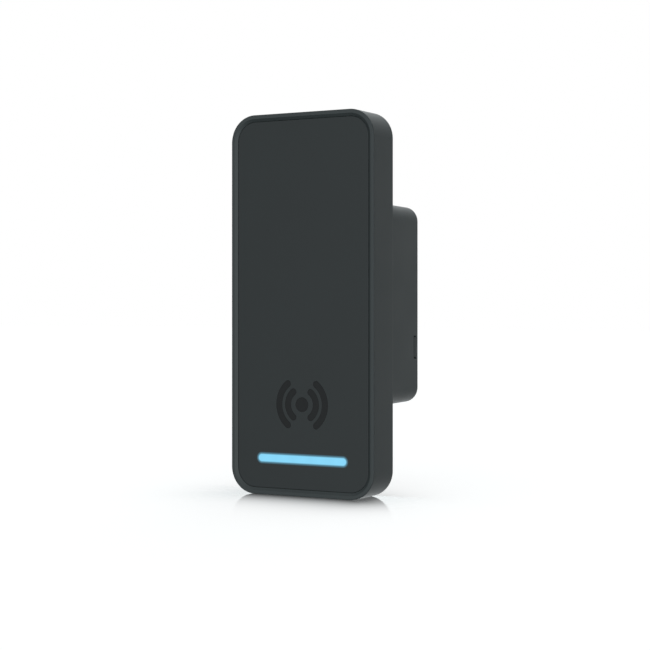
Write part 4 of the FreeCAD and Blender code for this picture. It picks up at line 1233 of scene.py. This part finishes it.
class READER_OT_set_stage(bpy.types.Operator):
    """Sets up the camera, the lights and the floor"""

    bl_idname = "reader.set_stage"
    bl_label = "Set Stage"

    def execute(self, context):
        scene = context.scene
        studio = scene.reader_studio
        scene.view_settings.view_transform = "Standard"
        studio_world(studio)
        low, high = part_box("front_housing")
        aim = Vector(((low.x + high.x) / 2, low.y, (low.z + high.z) / 2))
        away = Vector((math.sin(studio.azimuth), -math.cos(studio.azimuth), 0.0))
        full_frame = 36.0
        lens = bpy.data.cameras.new("camera")
        lens.sensor_width, lens.lens = full_frame, studio.focal_length
        lens.shift_x, lens.shift_y = studio.shift_x, studio.shift_y
        lens.clip_start, lens.clip_end = 0.01, 20.0
        camera = add_object("camera", lens)
        camera.location = aim + away * studio.distance
        camera.rotation_mode = "QUATERNION"
        camera.rotation_quaternion = (-away).to_track_quat("-Z", "Y")
        scene.camera = camera

        floor_mesh = bpy.data.meshes.new("studio_floor")
        reach = 3.0
        corners = [(x * reach, y * reach, low.z) for x, y in ((-1, -1), (1, -1), (1, 1), (-1, 1))]
        floor_mesh.from_pydata(corners, [], [(0, 1, 2, 3)])
        floor_mesh.materials.append(floor_material())
        floor = add_object("studio_floor", floor_mesh)
        floor.visible_diffuse = False
        floor.visible_glossy = False
        return {"FINISHED"}


class READER_PT_panel(bpy.types.Panel):
    """Sidebar panel of the card reader"""

    bl_label = "Card Reader"
    bl_idname = "READER_PT_panel"
    bl_space_type = "VIEW_3D"
    bl_region_type = "UI"
    bl_category = "Card Reader"

    def draw(self, context):
        for operator in OPERATORS:
            self.layout.operator(operator.bl_idname)
        for group in (context.scene.reader_colours, context.scene.reader_sizes, context.scene.reader_studio):
            column = self.layout.column(align=True)
            for setting in group.bl_rna.properties.keys():
                if setting not in ("rna_type", "name"):
                    column.prop(group, setting)


OPERATORS = (
    READER_OT_finish_shell,
    READER_OT_finish_panel,
    READER_OT_finish_light_bar,
    READER_OT_finish_electronics,
    READER_OT_finish_seals,
    READER_OT_fit_screws,
    READER_OT_fit_spring,
    READER_OT_fit_contacts,
    READER_OT_fit_antenna,
    READER_OT_fit_grommet,
    READER_OT_set_stage,
)
CLASSES = (ReaderColours, ReaderSizes, ReaderStudio) + OPERATORS + (READER_PT_panel,)


def register():
    """Registers the settings, the operators and the sidebar panel."""
    for cls in CLASSES:
        bpy.utils.register_class(cls)
    bpy.types.Scene.reader_colours = bpy.props.PointerProperty(type=ReaderColours)
    bpy.types.Scene.reader_sizes = bpy.props.PointerProperty(type=ReaderSizes)
    bpy.types.Scene.reader_studio = bpy.props.PointerProperty(type=ReaderStudio)


def unregister():
    """Takes them away again."""
    del bpy.types.Scene.reader_studio
    del bpy.types.Scene.reader_sizes
    del bpy.types.Scene.reader_colours
    for cls in reversed(CLASSES):
        bpy.utils.unregister_class(cls)


def main():
    """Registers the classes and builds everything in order."""
    register()
    for operator in OPERATORS:
        group, name = operator.bl_idname.split(".")
        getattr(getattr(bpy.ops, group), name)()


if __name__ == "__main__":
    main()
